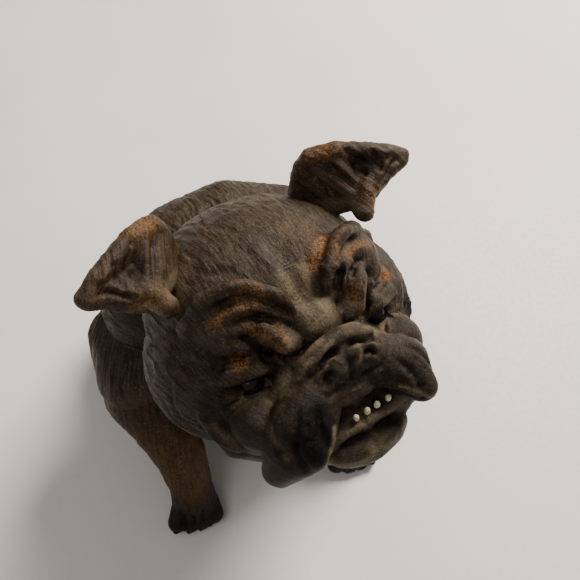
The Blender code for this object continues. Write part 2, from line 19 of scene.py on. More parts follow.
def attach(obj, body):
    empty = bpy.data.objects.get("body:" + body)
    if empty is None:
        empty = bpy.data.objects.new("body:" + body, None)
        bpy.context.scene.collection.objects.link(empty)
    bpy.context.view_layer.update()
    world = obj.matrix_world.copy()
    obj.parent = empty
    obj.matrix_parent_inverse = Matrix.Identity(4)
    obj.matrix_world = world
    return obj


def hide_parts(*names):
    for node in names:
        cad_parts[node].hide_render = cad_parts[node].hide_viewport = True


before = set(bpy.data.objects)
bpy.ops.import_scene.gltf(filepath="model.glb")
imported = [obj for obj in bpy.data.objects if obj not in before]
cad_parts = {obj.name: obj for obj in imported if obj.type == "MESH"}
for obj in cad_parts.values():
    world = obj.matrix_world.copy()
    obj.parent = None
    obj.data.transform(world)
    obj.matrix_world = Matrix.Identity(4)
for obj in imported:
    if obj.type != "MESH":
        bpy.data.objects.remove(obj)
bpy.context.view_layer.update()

MM = 0.001
GAP = 0.3  # between the two halves of the neck joint
WALL = 2.6  # of the castings
SEAT_DEPTH = 0.6  # how far a leg or the tail goes into the body's outer form
CENTRING = 2.05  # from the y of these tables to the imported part's y
HEAD_CENTRE = (2.3, -13.4, 78.0)
HEAD_YAW, HEAD_PITCH, HEAD_ROLL = 20.5, -27.5, 2.5
EYE_SPOT, EYE_RADIUS = (17.2, -20.6, -3.3), 3.2
SEAM_HEIGHT, SEAM_SLOPE = 54.4, 0.273  # of the neck joint at y = 0, and its rise per mm backwards
HINGE_Y, LOCK_Y = 39.6, -22.5
BARREL_HALF, BARREL_SEAT = 8.3, 2.4  # the hinge barrel's bed, and the leaves' width
LEAF_FRONT, LEAF_BACK, LEAF_SEAT = -12.3, 6, 1.8
PAD_HALF = 11.8  # half the width of the hinge pad and of the lock's ribs
RIB_INNER, RIB_LOW, RIB_BACK = 6.9, -18.6, -3.9
SLOT_SPOT, SLOT_TURN, SLOT_HALVES = (0, 44.5, 55), 35, (14.5, 12, 1.6)
BASE_Y, BASE_HALVES = 26, (20.8, 15.8)  # the opening that the base plate closes
PLATE_SPOT, PLATE_HALVES, PLATE_TURN = (0, -30.7, 33.2), (5.1, 6.7), 90 + 13.3  # keyhole plate
KEY_HEIGHT, KEY_RADIUS, KEY_SLOT_FOOT = -11, 2.2, -15.6
REACH = 200.0  # past everything, for blocks that cut
SIDES = {"right": -1, "left": 1}


# ---- clay: forms that blend into one skin
class Clay:
    """Balls and hulls gathered in one mesh, in millimetres.

    grow thickens (or thins) every form, and side mirrors x where it is -1.
    """

    def __init__(self, grow=0.0, place=Matrix.Identity(4), side=1):
        self.mesh = bmesh.new()
        self.grow = grow
        self.place = place
        self.side = side

    def ball(self, centre, radii):
        x, y, z = centre
        size = [max(r + self.grow, 0.5) for r in radii]
        matrix = self.place @ Matrix.Translation((x * self.side, y, z)) @ Matrix.Diagonal((*size, 1))
        bmesh.ops.create_icosphere(self.mesh, subdivisions=4, radius=1, matrix=matrix)

    def hull(self, *spheres):
        """The tight skin around spheres given as (x, y, z, radius)."""
        shell = bmesh.new()
        for x, y, z, radius in spheres:
            matrix = self.place @ Matrix.Translation((x * self.side, y, z))
            size = max(radius + self.grow, 0.4)
            fineness = 3 if size < 12 else 4
            bmesh.ops.create_icosphere(shell, subdivisions=fineness, radius=size, matrix=matrix)
        done = bmesh.ops.convex_hull(shell, input=shell.verts[:], use_existing_faces=False)
        inner = {v for v in done["geom_interior"] if isinstance(v, bmesh.types.BMVert)}
        bmesh.ops.delete(shell, geom=list(inner), context="VERTS")
        mesh = bpy.data.meshes.new("hull")
        shell.to_mesh(mesh)
        shell.free()
        self.mesh.from_mesh(mesh)
        bpy.data.meshes.remove(mesh)

    def limb(self, *spheres):
        """A chain of hulls from each sphere to the next."""
        for first, second in zip(spheres, spheres[1:]):
            self.hull(first, second)

    def skin(self, name, voxel, rounds):
        """Fuses the forms into one smooth closed skin, placed in the object's frame."""
        bmesh.ops.translate(self.mesh, vec=(0, CENTRING, 0), verts=self.mesh.verts)
        bmesh.ops.scale(self.mesh, vec=(MM, MM, MM), verts=self.mesh.verts)
        bmesh.ops.recalc_face_normals(self.mesh, faces=self.mesh.faces)
        mesh = bpy.data.meshes.new(name)
        self.mesh.to_mesh(mesh)
        self.mesh.free()
        made = place_object(name, mesh)
        fuse = made.modifiers.new("fuse", "REMESH")
        fuse.mode = "VOXEL"
        fuse.voxel_size = voxel * MM
        soften = made.modifiers.new("soften", "SMOOTH")
        soften.factor = 0.5
        soften.iterations = rounds
        bake(made)
        return made


def place_object(name, data):
    made = bpy.data.objects.new(name, data)
    bpy.context.scene.collection.objects.link(made)
    return made


def bake(made):
    """Applies an object's modifiers."""
    graph = bpy.context.evaluated_depsgraph_get()
    graph.update()
    old = made.data
    made.data = bpy.data.meshes.new_from_object(made.evaluated_get(graph))
    made.modifiers.clear()
    bpy.data.meshes.remove(old)


def turned(degrees, axis):
    return Matrix.Rotation(math.radians(degrees), 4, axis)


def head_matrix():
    turn = turned(HEAD_YAW, "Z") @ turned(HEAD_PITCH, "X") @ turned(HEAD_ROLL, "Y")
    return Matrix.Translation(HEAD_CENTRE) @ turn


def neck_forms(clay):
    clay.hull((1, 3, 51, 30.5), (2.5, -4, 65, 28))  # neck
    clay.ball((0, -18, 52), (20, 13, 14))  # dewlap
    clay.hull((0, 27, 64.5, 13.5), (15, 24, 62, 13.5), (-15, 24, 62, 13.5),
              (27, 8, 58, 13.5), (-27, 8, 58, 13.5), (0, 4, 58, 20))  # ruff over the withers


def torso_forms(clay):
    clay.ball((0, -8, 40), (27, 23, 27))  # chest
    clay.ball((0, 24, 38), (33, 25, 29))  # back
    clay.ball((0, 28, 26), (33, 25, 27))  # rump
    clay.hull((17, 15, 5.5, 9.5), (-17, 15, 5.5, 9.5), (17, 36.5, 5.5, 9.5), (-17, 36.5, 5.5, 9.5),
              (0, 26, 20, 18))  # the flat seat round the base plate
    for clay.side in SIDES.values():
        clay.hull((37.5, 9, 44, 10), (36.5, -5, 42.5, 10), (32, 3, 28, 15),
                  (24, -2, 44, 9))  # shoulder
        clay.ball((27, 28, 19), (17, 24, 20))  # haunch


def hind_foot_forms(clay):
    for clay.side in SIDES.values():
        clay.limb((32, 22, 7, 8), (33, 2, 5.5, 6.5))
        for toe in (-1.5, -0.5, 0.5, 1.5):
            clay.limb((33 + 2.6 * toe, 1, 4.5, 3.6), (33 + 3.6 * toe, -4 + abs(toe), 3.2, 3.1))


def skull_forms(clay):
    clay.ball((0, 3, 5), (29.5, 26, 21))  # skull
    clay.ball((0, -23, -9), (17, 13, 12))  # muzzle
    clay.ball((0, -6, -17), (23, 21, 14))  # throat
    clay.hull((-10, -30, -19.5, 6), (0, -32, -18.6, 6.2), (11.5, -31, -17.6, 6),
              (0, -26, -22, 6))  # lower jaw
    clay.ball((1, -34, -22.5), (11, 6.5, 5))  # chin
    clay.ball((0, -22.5, 4.5), (7, 6.5, 6.5))  # the stop between the brows
    clay.ball((0, -31, -1.5), (7, 5, 5.5))  # nose
    clay.limb((-9.2, -29.6, -2, 2), (-7.8, -31, 1.6, 2), (-4.2, -31.6, 3.8, 2), (0, -31.6, 4.4, 2),
              (4.2, -31.6, 3.8, 2), (7.4, -31, 1.6, 2), (8.6, -29.6, -2, 2))  # the roll over the nose
    clay.ball((10.6, -21.5, 8.6), (6, 4.8, 6))  # the left brow's bulb
    for clay.side in SIDES.values():
        clay.ball((21, -4, -6), (14, 19, 17))  # cheek
        clay.ball((20, -25, -11), (6, 6.5, 7))  # the hollow beside the flew
        clay.ball((13.5, -15, 9), (11, 8, 9))  # brow
        clay.ball((5, -32.5, -1.8), (4, 3.4, 3.8))  # nostril wing
        clay.hull((8, -31, -6, 6), (14, -33, -10, 6.8),
                  (14.8, -39.2, -13.6, 3.5), (19.8, -30.5, -20.4, 4.2))  # flew
        clay.limb((4.5, -23, 7, 2.2), (8, -22, 14, 2.5), (14, -18, 18, 2.6),
                  (20, -14, 16, 2.6), (24, -12, 10, 2.4))  # brow ridge
        clay.limb((7.5, -25, 4, 2.8), (11, -23.5, 7.5, 3.4), (14.5, -22, 6, 2.8))
        clay.limb((11.5, -24.5, 0.5, 1.8), (16, -24.5, 2.6, 2.1), (21, -21.5, 2, 2.3),
                  (25, -17, -2, 2))  # upper lid
        clay.limb((12, -25.5, -5, 1.6), (17, -24, -7.6, 2.1), (23, -19, -7, 2.2))
        clay.limb((25, -16, -8, 4.5), (23, -20, -16, 5), (15, -22, -22, 5))  # jowl


def front_leg_forms(clay):
    back = 6 if clay.side > 0 else 0  # the left foot stands further back
    clay.limb((35.5, -6, 34, 11), (32, -13 + back / 4, 28, 9.3),
              (27.5, -22.5 + back / 2, 20, 7.8), (26.5, -29.5 + back, 11, 6.6),
              (26.5, -32.5 + back, 5.5, 7.2))
    for toe in (-1.5, -0.5, 0.5, 1.5):
        clay.limb((26.5 + 2.6 * toe, -33.5 + back, 4.5, 3.8),
                  (27.1 + 3.8 * toe, -39 + back + abs(toe), 3.2, 3.2))


def ear_forms(clay):
    clay.hull((18.5, 4.5, 21, 3.2), (20.5, 2, 28.5, 3.2), (26, -3, 29, 3),
              (27.5, -8, 20, 3), (24, 0, 20, 5))  # the upright fold
    clay.limb((20, 3, 27, 3), (21.5, 0.5, 30.6, 2.9), (26.5, -3, 31.2, 2.7),
              (32, -5.5, 29.6, 2.7), (37, -8, 28, 2.6), (41, -9.3, 26, 2.3))  # rolled rim
    clay.hull((41, -9.5, 25.6, 2.1), (36, -9.5, 25.5, 2.4), (31.5, -9.6, 22.5, 2.4),
              (29, -4, 25, 2.6))  # the lap that hangs outwards
    clay.hull((26.5, -10.8, 17.5, 2.6), (28.5, -10.2, 21.5, 2.2), (31, -8.5, 24, 2.2),
              (28, -5, 22, 2.6))  # the front of the cup
    clay.limb((30, -6, 19, 3), (34, -7, 21, 2.4), (37.5, -8, 23.6, 2.1))


def tail_forms(clay):
    clay.limb((0, 48, 16, 4.2), (3, 54, 13, 3.8), (9, 55, 10, 3.2), (13, 51.5, 8, 2.4))


# ---- carving: a skin's points as arrays
def value_noise(points, seed=0):
    """Smooth noise from -1 to 1 at points (n, 3), one lump per unit."""
    cell = np.floor(points).astype(np.int64)
    part = points - cell
    part = part * part * (3 - 2 * part)
    total = np.zeros(len(points))
    for corner in np.ndindex(2, 2, 2):
        x, y, z = (cell + corner).T
        key = x * 73856093 ^ y * 19349663 ^ z * 83492791 ^ (seed * 2654435761)
        key = (key ^ (key >> 13)) * 1274126177
        height = ((key ^ (key >> 16)) & 0xFFFF) / 0xFFFF
        total += height * np.prod(np.abs(1 - np.array(corner) - part), axis=1)
    return total * 2 - 1


def layered_noise(points, octaves, seed=0):
    """Value noise in octaves, each twice as fine and half as strong as the last, from -1 to 1."""
    total = np.zeros(len(points))
    for level in range(octaves):
        total += value_noise(points * 2 ** level, seed + level) / 2 ** level
    return total / (2 - 2 ** (1 - octaves))


def ramp(values, low, high):
    """0 below low and 1 above high, with a smooth rise between them."""
    t = np.clip((values - low) / (high - low), 0, 1)
    return t * t * (3 - 2 * t)


def spline(points, step):
    """Points about step apart on a smooth curve through the given ones."""
    points = [np.array(p, float) for p in points]
    if len(points) == 1:
        return np.array(points)
    ends = [2 * points[0] - points[1]] + points + [2 * points[-1] - points[-2]]
    out = []
    for a, b, c, d in zip(ends, ends[1:], ends[2:], ends[3:]):
        count = max(2, int(np.linalg.norm(c - b) / step))
        for t in np.arange(count) / count:
            out.append(0.5 * (2 * b + (c - a) * t + (2 * a - 5 * b + 4 * c - d) * t ** 2
                              + (3 * b - a - 3 * c + d) * t ** 3))
    out.append(points[-1])
    return np.array(out)


TAPER = 0.25  # share of a stroke's length over which each end fades


def read(items, key, width, kind=float):
    """A property of every item, as an array of rows."""
    values = np.empty(len(items) * width, kind)
    items.foreach_get(key, values)
    return values.reshape(-1, width)


class Relief:
    """Carves a dense skin. Points are in millimetres, local to a frame such as the head's."""

    def __init__(self, made, place=Matrix.Identity(4)):
        self.made = made
        self.place = Matrix.Scale(MM, 4) @ Matrix.Translation((0, CENTRING, 0)) @ place
        mesh = made.data
        world = read(mesh.vertices, "co", 3)
        self.turn = np.array(place.to_3x3())
        self.points = (world / MM - np.array(self.place.translation) / MM) @ self.turn
        self.edges = read(mesh.edges, "vertices", 2, np.int64)
        mesh.calc_loop_triangles()
        self.faces = read(mesh.loop_triangles, "vertices", 3, np.int64)
        self.valence = np.bincount(self.edges.ravel(), minlength=len(self.points))
        self.refresh()

    def refresh(self):
        """Finds the normals and the search tree of the skin as it stands."""
        a, b, c = (self.points[self.faces[:, k]] for k in range(3))
        face_normals = np.cross(b - a, c - a)
        normals = np.zeros_like(self.points)
        for k in range(3):
            for axis in range(3):
                normals[:, axis] += np.bincount(self.faces[:, k], face_normals[:, axis], len(self.points))
        self.normals = normals / np.maximum(np.linalg.norm(normals, axis=1, keepdims=True), 1e-12)
        self.tree = BVHTree.FromPolygons(self.points.tolist(), self.faces.tolist())

    def averaged(self, values, rounds):
        """Values after each point has taken its neighbours' average the given number of times."""
        values = values.copy()
        a, b = self.edges[:, 0], self.edges[:, 1]
        columns = values if values.ndim == 2 else values[:, None]
        for _ in range(rounds):
            around = np.empty_like(columns)
            for k in range(columns.shape[1]):
                around[:, k] = (np.bincount(a, columns[b, k], len(columns))
                                + np.bincount(b, columns[a, k], len(columns)))
            columns = 0.5 * columns + 0.5 * around / self.valence[:, None]
        return columns if values.ndim == 2 else columns[:, 0]

    def near_path(self, path, reach):
        """The points within reach of a path laid on the skin, with distance, and share of its length."""
        found = [self.tree.find_nearest(Vector(spot)) for spot in spline(path, max(reach / 8, 0.25))]
        laid = np.array([spot for spot, _, _, _ in found])
        facing = np.array([normal for _, normal, _, _ in found])
        inside = np.all((self.points > laid.min(0) - reach) & (self.points < laid.max(0) + reach), axis=1)
        chosen = np.nonzero(inside)[0]
        best = np.full(len(chosen), np.inf)
        which = np.zeros(len(chosen), int)
        for index, spot in enumerate(laid):
            gap = np.linalg.norm(self.points[chosen] - spot, axis=1)
            gap[self.normals[chosen] @ facing[index] < -0.1] = np.inf  # the far side of a thin wall
            closer = gap < best
            best[closer] = gap[closer]
            which[closer] = index
        keep = best < reach
        return chosen[keep], best[keep], which[keep] / max(len(laid) - 1, 1)

    def stroke(self, path, width, height, shoulder=0.0):
        """Raises (or, below zero, sinks) the skin along a path; shoulder does the opposite beside it."""
        chosen, gap, along = self.near_path(path, 3 * width)
        fade = 1.0
        if len(path) > 1:
            fade = ramp(along, 0, TAPER) * ramp(1 - along, 0, TAPER)
        beside = np.exp(-((gap - 1.9 * width) / (0.7 * width)) ** 2)
        profile = np.exp(-(gap / width) ** 2) - shoulder * beside
        self.points[chosen] += self.normals[chosen] * (height * fade * profile)[:, None]

    def strokes(self, rows, side):
        """Rows of (path, width, height[, shoulder]), given for the dog's left; side -1 mirrors them."""
        for path, *shape in rows:
            self.stroke([(x * side, y, z) for x, y, z in path], *shape)

    def patch(self, centre, radii, edge=0.5):
        """A soft mask, 1 inside an ellipsoid and 0 outside it, with an uneven edge."""
        away = np.linalg.norm((self.points - np.array(centre)) / np.array(radii), axis=1)
        away = away + 0.25 * layered_noise(self.points / 2.5, 3, 5)
        return 1 - ramp(away, 1 - edge, 1 + edge)

    def band(self, path, width):
        """A soft mask along a path."""
        chosen, gap, _ = self.near_path(path, 2.5 * width)
        mask = np.zeros(len(self.points))
        mask[chosen] = np.exp(-(gap / width) ** 2)
        return mask

    def soften(self, rounds, share):
        """Moves each point by a share of the way to its averaged place."""
        self.points = self.points + share * (self.averaged(self.points, rounds) - self.points)

    def bulge(self, rounds):
        """How far each point stands above (or below) its surroundings, in millimetres."""
        return np.einsum("ij,ij->i", self.points - self.averaged(self.points, rounds), self.normals)

    def store(self, fields):
        """Writes the carved points back, with the fields as point attributes."""
        mesh = self.made.data
        world = (self.points @ self.turn.T + np.array(self.place.translation) / MM) * MM
        mesh.vertices.foreach_set("co", world.ravel())
        for name, values in fields.items():
            layer = mesh.attributes.new(name, "FLOAT", "POINT")
            layer.data.foreach_set("value", values.astype(np.float32))
        mesh.update()


# ---- the head's carving, in the head's own frame: x to its left, -y forwards, z up
# Each row is (path, width, height[, shoulder]) in millimetres, for the left side of the head.
LEFT_BROW = [
    ([(3.8, -23.1, 10.6), (4.7, -22.5, 12.8), (6.4, -22.6, 15), (9.4, -23.4, 15.4), (13.2, -22.2, 13),
      (15.1, -23, 9.6)], 0.8, 0.7),
    ([(7, -25, 8), (7.6, -24.4, 10.6), (9.6, -23.6, 12.3), (12.6, -22.8, 11.6),
      (14, -23.4, 9.4)], 0.8, -1.2),
    ([(9.4, -25.4, 9.4), (10.4, -24.8, 10.9), (12, -24.6, 10)], 0.7, 0.6),
    ([(4.8, -19.2, 15.6), (6.8, -18, 17), (10.6, -15.7, 18.6), (14, -14.6, 18.6)], 1.3, 0.8),
    ([(7, -12, 22.4), (4.8, -17.7, 17.8), (3.5, -21.4, 12.6), (3.3, -24, 9.4)], 1.0, -0.6),
]
WRINKLES = [
    ([(9.5, -35.4, -3.6), (12, -37.6, -8), (13.2, -40.4, -12.6), (14.4, -42.6, -17)], 0.8, -0.6),
    ([(13, -35, -3.6), (15.8, -36, -7.6), (17.4, -38.8, -12.4), (17.6, -40.4, -16.6)], 0.8, -0.7),
    ([(10.5, -37, -6.6), (11.6, -39.6, -11), (12.4, -41.6, -15)], 1.0, 0.4),
    ([(7.6, -34.6, -6), (10.6, -36.8, -10.6), (12, -40, -14.6)], 0.6, -0.5),
    ([(30.4, -12, 2), (31.6, -12, -4), (31, -13.4, -10), (28.6, -17.5, -15)], 0.9, -0.7),
    ([(4.6, -15, 21), (6.6, -12.4, 23), (9.5, -8.6, 24.6)], 1.2, -0.5),
    ([(10, -17.6, 20), (13.6, -13.4, 21.6), (18, -10, 21.4)], 1.2, -0.5),
    ([(2.4, -19, 17), (4, -16.4, 20), (5.4, -11, 23.4)], 1.0, 0.4),
]
WHISKERS = [(11.6, -38.8, -8.4), (13.8, -39.6, -11.6), (15.6, -39.4, -9.2), (16.4, -40.2, -13.4),
            (12.4, -41.2, -13.8), (9.8, -38.6, -9.8), (17.6, -37.6, -9.8), (14.4, -37.8, -7)]
BROW = [
    ([(21.5, -15, 16), (16, -18.5, 19), (12, -20, 18.8), (9, -21.8, 16.8), (6.4, -23.3, 13.6),
      (4.6, -24, 10.5), (4, -25, 7)], 1.3, 1.2, 0.25),
    ([(21, -17, 14.6), (15.5, -20, 17), (11.5, -21.8, 16.4), (8.2, -23.6, 13.6), (5.8, -24.7, 10.4),
      (5, -25.2, 7.6)], 0.8, -1.0),
    ([(20, -19, 12.6), (15.4, -20.6, 14.6), (11.9, -22.4, 14), (8.6, -24.1, 11.2),
      (6.8, -25, 7.8)], 1.2, 0.9),
    ([(18.7, -21, 11.4), (15, -21.8, 12.6), (11.9, -22.8, 11.8), (9.6, -25, 9.6), (8.2, -27, 6)], 0.8, -1.1),
    ([(14.5, -22.6, 10.2), (12.3, -23.8, 10), (10.9, -26, 8), (9.8, -27.3, 4.8),
      (9.7, -26.8, 2.2)], 1.5, 1.3),
    ([(18.5, -21.8, 10), (15.5, -23.2, 8.2), (13.6, -25, 5), (11.6, -26.2, 1.6),
      (10.6, -29.5, 0.6)], 1.0, -1.6),
    ([(22.5, -19.8, 7), (18.8, -22.2, 7.6), (16.5, -24, 5.2)], 1.8, 1.0),
    ([(24.5, -19, 4.6), (20.5, -22.6, 4.4), (16.5, -25, 4.6)], 0.7, -0.7),
]
EYE = [
    ([(25, -19.6, 2.2), (23.5, -21.6, 1), (20, -24.2, 1.2), (16.5, -26, 2), (13, -26.2, 0.6)], 0.9, 0.9),
    ([(24, -21, -0.6), (21.1, -22.6, -1), (17.7, -23.6, -1), (14.6, -25, -2.2)], 0.8, -0.8),
    ([(23.6, -20.8, -2.4), (20.5, -22.8, -4.8), (17, -24, -5.4), (14.6, -25.4, -4)], 0.75, 0.7),
    ([(25, -20.6, -4.2), (21.5, -23, -6.6), (17.8, -24.8, -6.8), (14.5, -26.6, -5.4)], 0.8, -0.7),
    ([(26, -19.6, -6.4), (21.5, -23.4, -9), (17, -26.5, -8.6)], 1.2, 0.6),
]
NOSE = [
    ([(10.2, -30.8, -1.6), (9, -32, 1.4), (6.4, -32.9, 3.8), (3.4, -33.3, 4.9),
      (0, -33.4, 5.3)], 0.9, 0.4, 0.2),
    ([(9.6, -33, -2.8), (8.2, -33.2, -0.4), (6, -33.6, 1.6), (3.6, -34, 2.6), (0, -34, 2.9)], 0.7, -1.4),
    ([(8.2, -33.6, -2.4), (7.6, -33.2, 0.6), (5.4, -33.2, 2), (3.2, -34, 1.8), (1.9, -35.2, 0),
      (1.7, -35.8, -2)], 0.9, 1.1),
    ([(6.4, -35.4, -2.8), (6.2, -35.5, -0.6), (4.9, -35.7, -0.2), (4.1, -35.7, -1.4)], 0.7, -1.8),
    ([(4.4, -35.6, -3.4), (3.2, -35.6, -3.6), (1.8, -35.6, -3.2)], 0.7, 0.8),
    ([(8.8, -33.4, -3.6), (7.4, -35, -5), (4.6, -35.8, -4.9), (1.6, -35.8, -5.2)], 0.7, -0.7),
]
NOSE_MIDDLE = [
    ([(0, -34.8, 1.8), (0, -35.6, 0), (0, -35.8, -3), (0, -35.4, -5.6)], 0.6, -0.8),
    ([(0, -36, -8), (0, -35.6, -6.4)], 1.6, 0.7),
    ([(0, -17, 18.4), (0, -20, 15), (0, -23, 11), (0, -26, 9.4)], 2.0, -0.9),
    ([(0, -10, 23), (0, -14, 21), (0, -19, 16.5)], 2.2, -0.7),
]
MOUTH = [
    ([(0, -37, -12.4), (4, -37.2, -12.2), (7.6, -38.2, -12.4), (11, -40.6, -14.8),
      (14, -42.4, -19)], 1.0, -2.2),
    ([(0, -36.6, -9.4), (3.4, -36.4, -9.2), (6.6, -37.8, -9.6), (9.4, -40, -11.2),
      (12.4, -42, -14.4)], 0.9, 0.7),
    ([(0, -37.4, -18.6), (4, -37.3, -18.4), (8.5, -37, -19)], 0.9, -1.2),
    ([(0, -37.2, -15.8), (4, -37, -15.9), (8.5, -36.6, -17)], 1.0, 0.6),
    ([(0, -38, -21.6), (6, -37, -21.8), (11, -34, -21)], 1.6, 0.8),
]
CHEEK = [
    ([(16, -32.6, -3.4), (19, -31.6, -6.4), (20.8, -33.4, -9), (20.2, -36.6, -13),
      (19.2, -38.2, -15.4)], 1.1, -1.2),
    ([(28.6, -18.6, -3), (29.2, -18.6, -8), (28.5, -19.4, -12.4), (26.5, -23.4, -14.4),
      (24.5, -28, -16)], 0.9, 0.9, 0.3),
    ([(26.4, -19.8, -2), (26.6, -20.6, -8), (25, -24, -11.6), (22.6, -29, -12.4)], 1.0, -0.8),
    ([(33, -8, -2), (33, -10, -10), (29.5, -14, -18)], 1.1, -0.8),
    ([(31, -10, 6), (27.6, -16, 5), (25.8, -18.6, 3.4)], 1.3, -0.8),
    ([(29, -6, 12), (26, -13, 13.6), (23.4, -16, 12)], 1.4, 0.7),
]


def carve_head(relief):
    """Folds, lids, nose and lips."""
    for rows in (BROW, EYE, NOSE, MOUTH, CHEEK, WRINKLES):
        for side in SIDES.values():
            relief.strokes(rows, side)
        relief.refresh()
    relief.strokes(NOSE_MIDDLE, 1)
    relief.strokes(LEFT_BROW, 1)
    for side in SIDES.values():
        for x, y, z in WHISKERS:
            relief.stroke([(x * side, y, z)], 0.5, -0.35)
    relief.soften(1, 0.6)
    relief.refresh()


def strands(across, along, spacing, length, seed):
    """Hair cut into metal: 0 in the groove between two locks, 1 on the lock's crest."""
    wander = layered_noise(np.stack([across / 6, along / 7, 0 * along], 1), 2, seed)
    lane = value_noise(np.stack([across / spacing + 1.4 * wander, along / length, 0 * along], 1), seed + 7)
    return 1 - np.abs(lane) ** 0.7


def comb_head(relief):
    """Short hair that runs back from the nose; strongest on the cheeks and the nape."""
    x, y, z = relief.points.T
    out = np.hypot(x, z - 2)
    across = np.arctan2(x, z - 2) * np.maximum(out, 8)
    along = y + 0.3 * out
    hair = strands(across, along, 1.15, 5.5, 11)
    nape = ramp(y, -12, 4)
    cheek = ramp(np.abs(x), 21, 26) * ramp(y, -26, -16)
    muzzle = 1 - ramp(y, -31, -22)
    depth = 0.16 + 0.26 * np.maximum(nape, cheek) - 0.1 * muzzle
    dents = layered_noise(relief.points / 3.6, 3, 19)
    grain = layered_noise(relief.points / 1.0, 2, 23)
    relief.points += relief.normals * (depth * (hair - 0.5) + 0.24 * dents + 0.06 * grain)[:, None]
    relief.refresh()
    return hair, 1.5 * across, 2.0 * along


def comb_body(relief, coarse=1.0):
    """Longer wavy locks that fall from the withers and the chest."""
    x, y, z = relief.points.T
    out = np.maximum(np.hypot(x, y - 8), 10)
    across = np.arctan2(x, 14 - y) * out
    along = z + 0.25 * y
    hair = strands(across, along, 1.5 * coarse, 9, 31)
    ragged = layered_noise(relief.points / 7, 2, 37)
    depth = (0.42 + 0.2 * ragged) * coarse * ramp(z, 4, 12)
    relief.points += relief.normals * (depth * (hair - 0.5))[:, None]
    relief.points += relief.normals * (0.2 * layered_noise(relief.points / 4, 3, 41))[:, None]
    relief.refresh()
    return hair, across, along


# ---- what the finish reads: one value per point
DUST_LINES = [
    ([(22, -23, -6.6), (17, -26, -7), (13.4, -28, -4), (11.8, -29.4, 0), (10.2, -29.6, 4),
      (6, -30, 7.6), (0, -29.6, 8.6)], 1.8, 0.95),
    ([(2.4, -18.7, 16.4), (2.2, -21.4, 12), (1.4, -25, 9), (2.5, -27.4, 8.6)], 1.9, 0.9),
    ([(16.4, -32.4, -4), (20, -32, -7.6), (20.5, -36.8, -13)], 1.0, 0.6),
    ([(28, -18, -9), (25, -25, -16), (24, -29.5, -17)], 1.2, 0.6),
    ([(18, -3, 22), (24, -8, 18), (29, -8, 14)], 2.4, 0.5),
]
# painted highlights: pale along the raised rims of the nose wings, the roll over the nose, the lips, the
# chin and the flews
PAINTED_HIGHLIGHT_EDGES = [
    ([(8, -33.6, -2), (7.4, -33.3, 0.8), (5.2, -33.4, 2), (3, -34.4, 1.6), (1.8, -35.6, -0.6)], 0.9, 0.85),
    ([(10, -31, -1), (8, -32.4, 2.6), (2, -33.4, 5.2)], 0.7, 0.85),
    ([(1, -37, -15.6), (6, -37.4, -16), (11, -36.4, -17)], 1.3, 0.85),
    ([(1, -38, -22), (7, -37, -22), (12, -33, -21)], 1.6, 0.85),
    ([(9, -39.5, -9.7), (12.5, -42, -13), (15.4, -42.8, -17)], 0.5, 0.85),
    ([(16.5, -41, -19), (21, -33, -23)], 0.6, 0.85),
]
RUBBED_LINES = [
    ([(20, -19, 13.4), (15.4, -20.4, 15.2), (11.9, -22, 15)], 1.2, 0.7),
    ([(16, -18.5, 19), (12, -20, 18.8), (9, -21.8, 16.8)], 1.0, 0.6),
    ([(14.5, -22.6, 10.2), (11, -26, 8.2), (9.8, -27, 4)], 1.2, 0.7),
]
RUBBED_LEFT_BROW = [([(4.8, -19.2, 15.3), (6.6, -18, 16.3), (10.6, -15.7, 17.8)], 1.5, 1.0)]
RUBBED_SPOTS = [((8, -12, 22), (6, 4, 4), 0.2), ((24.3, -18.9, 4), (2.2, 2.2, 1.8), 1.0),
                ((-18.9, -22.4, 4.4), (2.2, 2.2, 1.8), 1.0)]
DUST_SPOTS = [((12.6, -29, -3.4), (2.6, 3.4, 3.2), 0.7)]
BLACK_LINES = [([(18.5, -21.8, 10), (13.6, -25, 5), (10.6, -29.5, 0.6)], 1.3, 0.7)]
BLACK_SPOTS = [((22, -20, -10), (10, 12, 12), 0.55), ((17, -22, -3), (6, 5, 3), 0.8)]
BLACK_MUZZLE = [((-13, -36, -12), (9.5, 11, 10), 1.0),  # the right flew
                ((13, -36, -12), (9.5, 11, 10), 0.6),  # the left flew, worn to slate
                ((0, -35, -1), (8, 6, 6), 0.5),  # nose
                ((0, -38, -19), (13, 8, 8), 0.45)]  # lip and chin
RED_LIDS = [([(23, -21, -3), (20, -23, -5), (16, -24.6, -5)], 0.7, 1.0)]


FIELDS = ("crest", "crease", "hair", "across", "along", "up", "dust", "black", "ochre", "red", "tan")


def mask_of(relief, bands=(), patches=(), sides=(1,)):
    """The strongest of soft bands (path, width, share) and patches (centre, radii, share)."""
    mask = np.zeros(len(relief.points))
    for side in sides:
        for path, width, share in bands:
            mirrored = [(x * side, y, z) for x, y, z in path]
            mask = np.maximum(mask, share * relief.band(mirrored, width))
        for (x, y, z), radii, share in patches:
            mask = np.maximum(mask, share * relief.patch((x * side, y, z), radii))
    return mask


def head_fields(relief, hair):
    both = tuple(SIDES.values())
    fields = plain_fields(relief, hair)
    up = fields["up"]
    dust = mask_of(relief, DUST_LINES, DUST_SPOTS, both) * (0.6 + 0.4 * up)
    # the dust field also carries the painted highlights along the raised edges
    fields["dust"] = np.maximum(dust, mask_of(relief, PAINTED_HIGHLIGHT_EDGES, sides=both))
    fields["black"] = np.maximum(mask_of(relief, BLACK_LINES, BLACK_SPOTS, both),
                                 mask_of(relief, patches=BLACK_MUZZLE))
    fields["ochre"] = np.maximum(mask_of(relief, RUBBED_LINES, sides=both),
                                 mask_of(relief, RUBBED_LEFT_BROW, RUBBED_SPOTS))
    fields["red"] = mask_of(relief, RED_LIDS, sides=both)
    # painted top light: the head's faces turned upwards are lightened towards tan
    fields["tan"] = 0.15 * up
    return fields


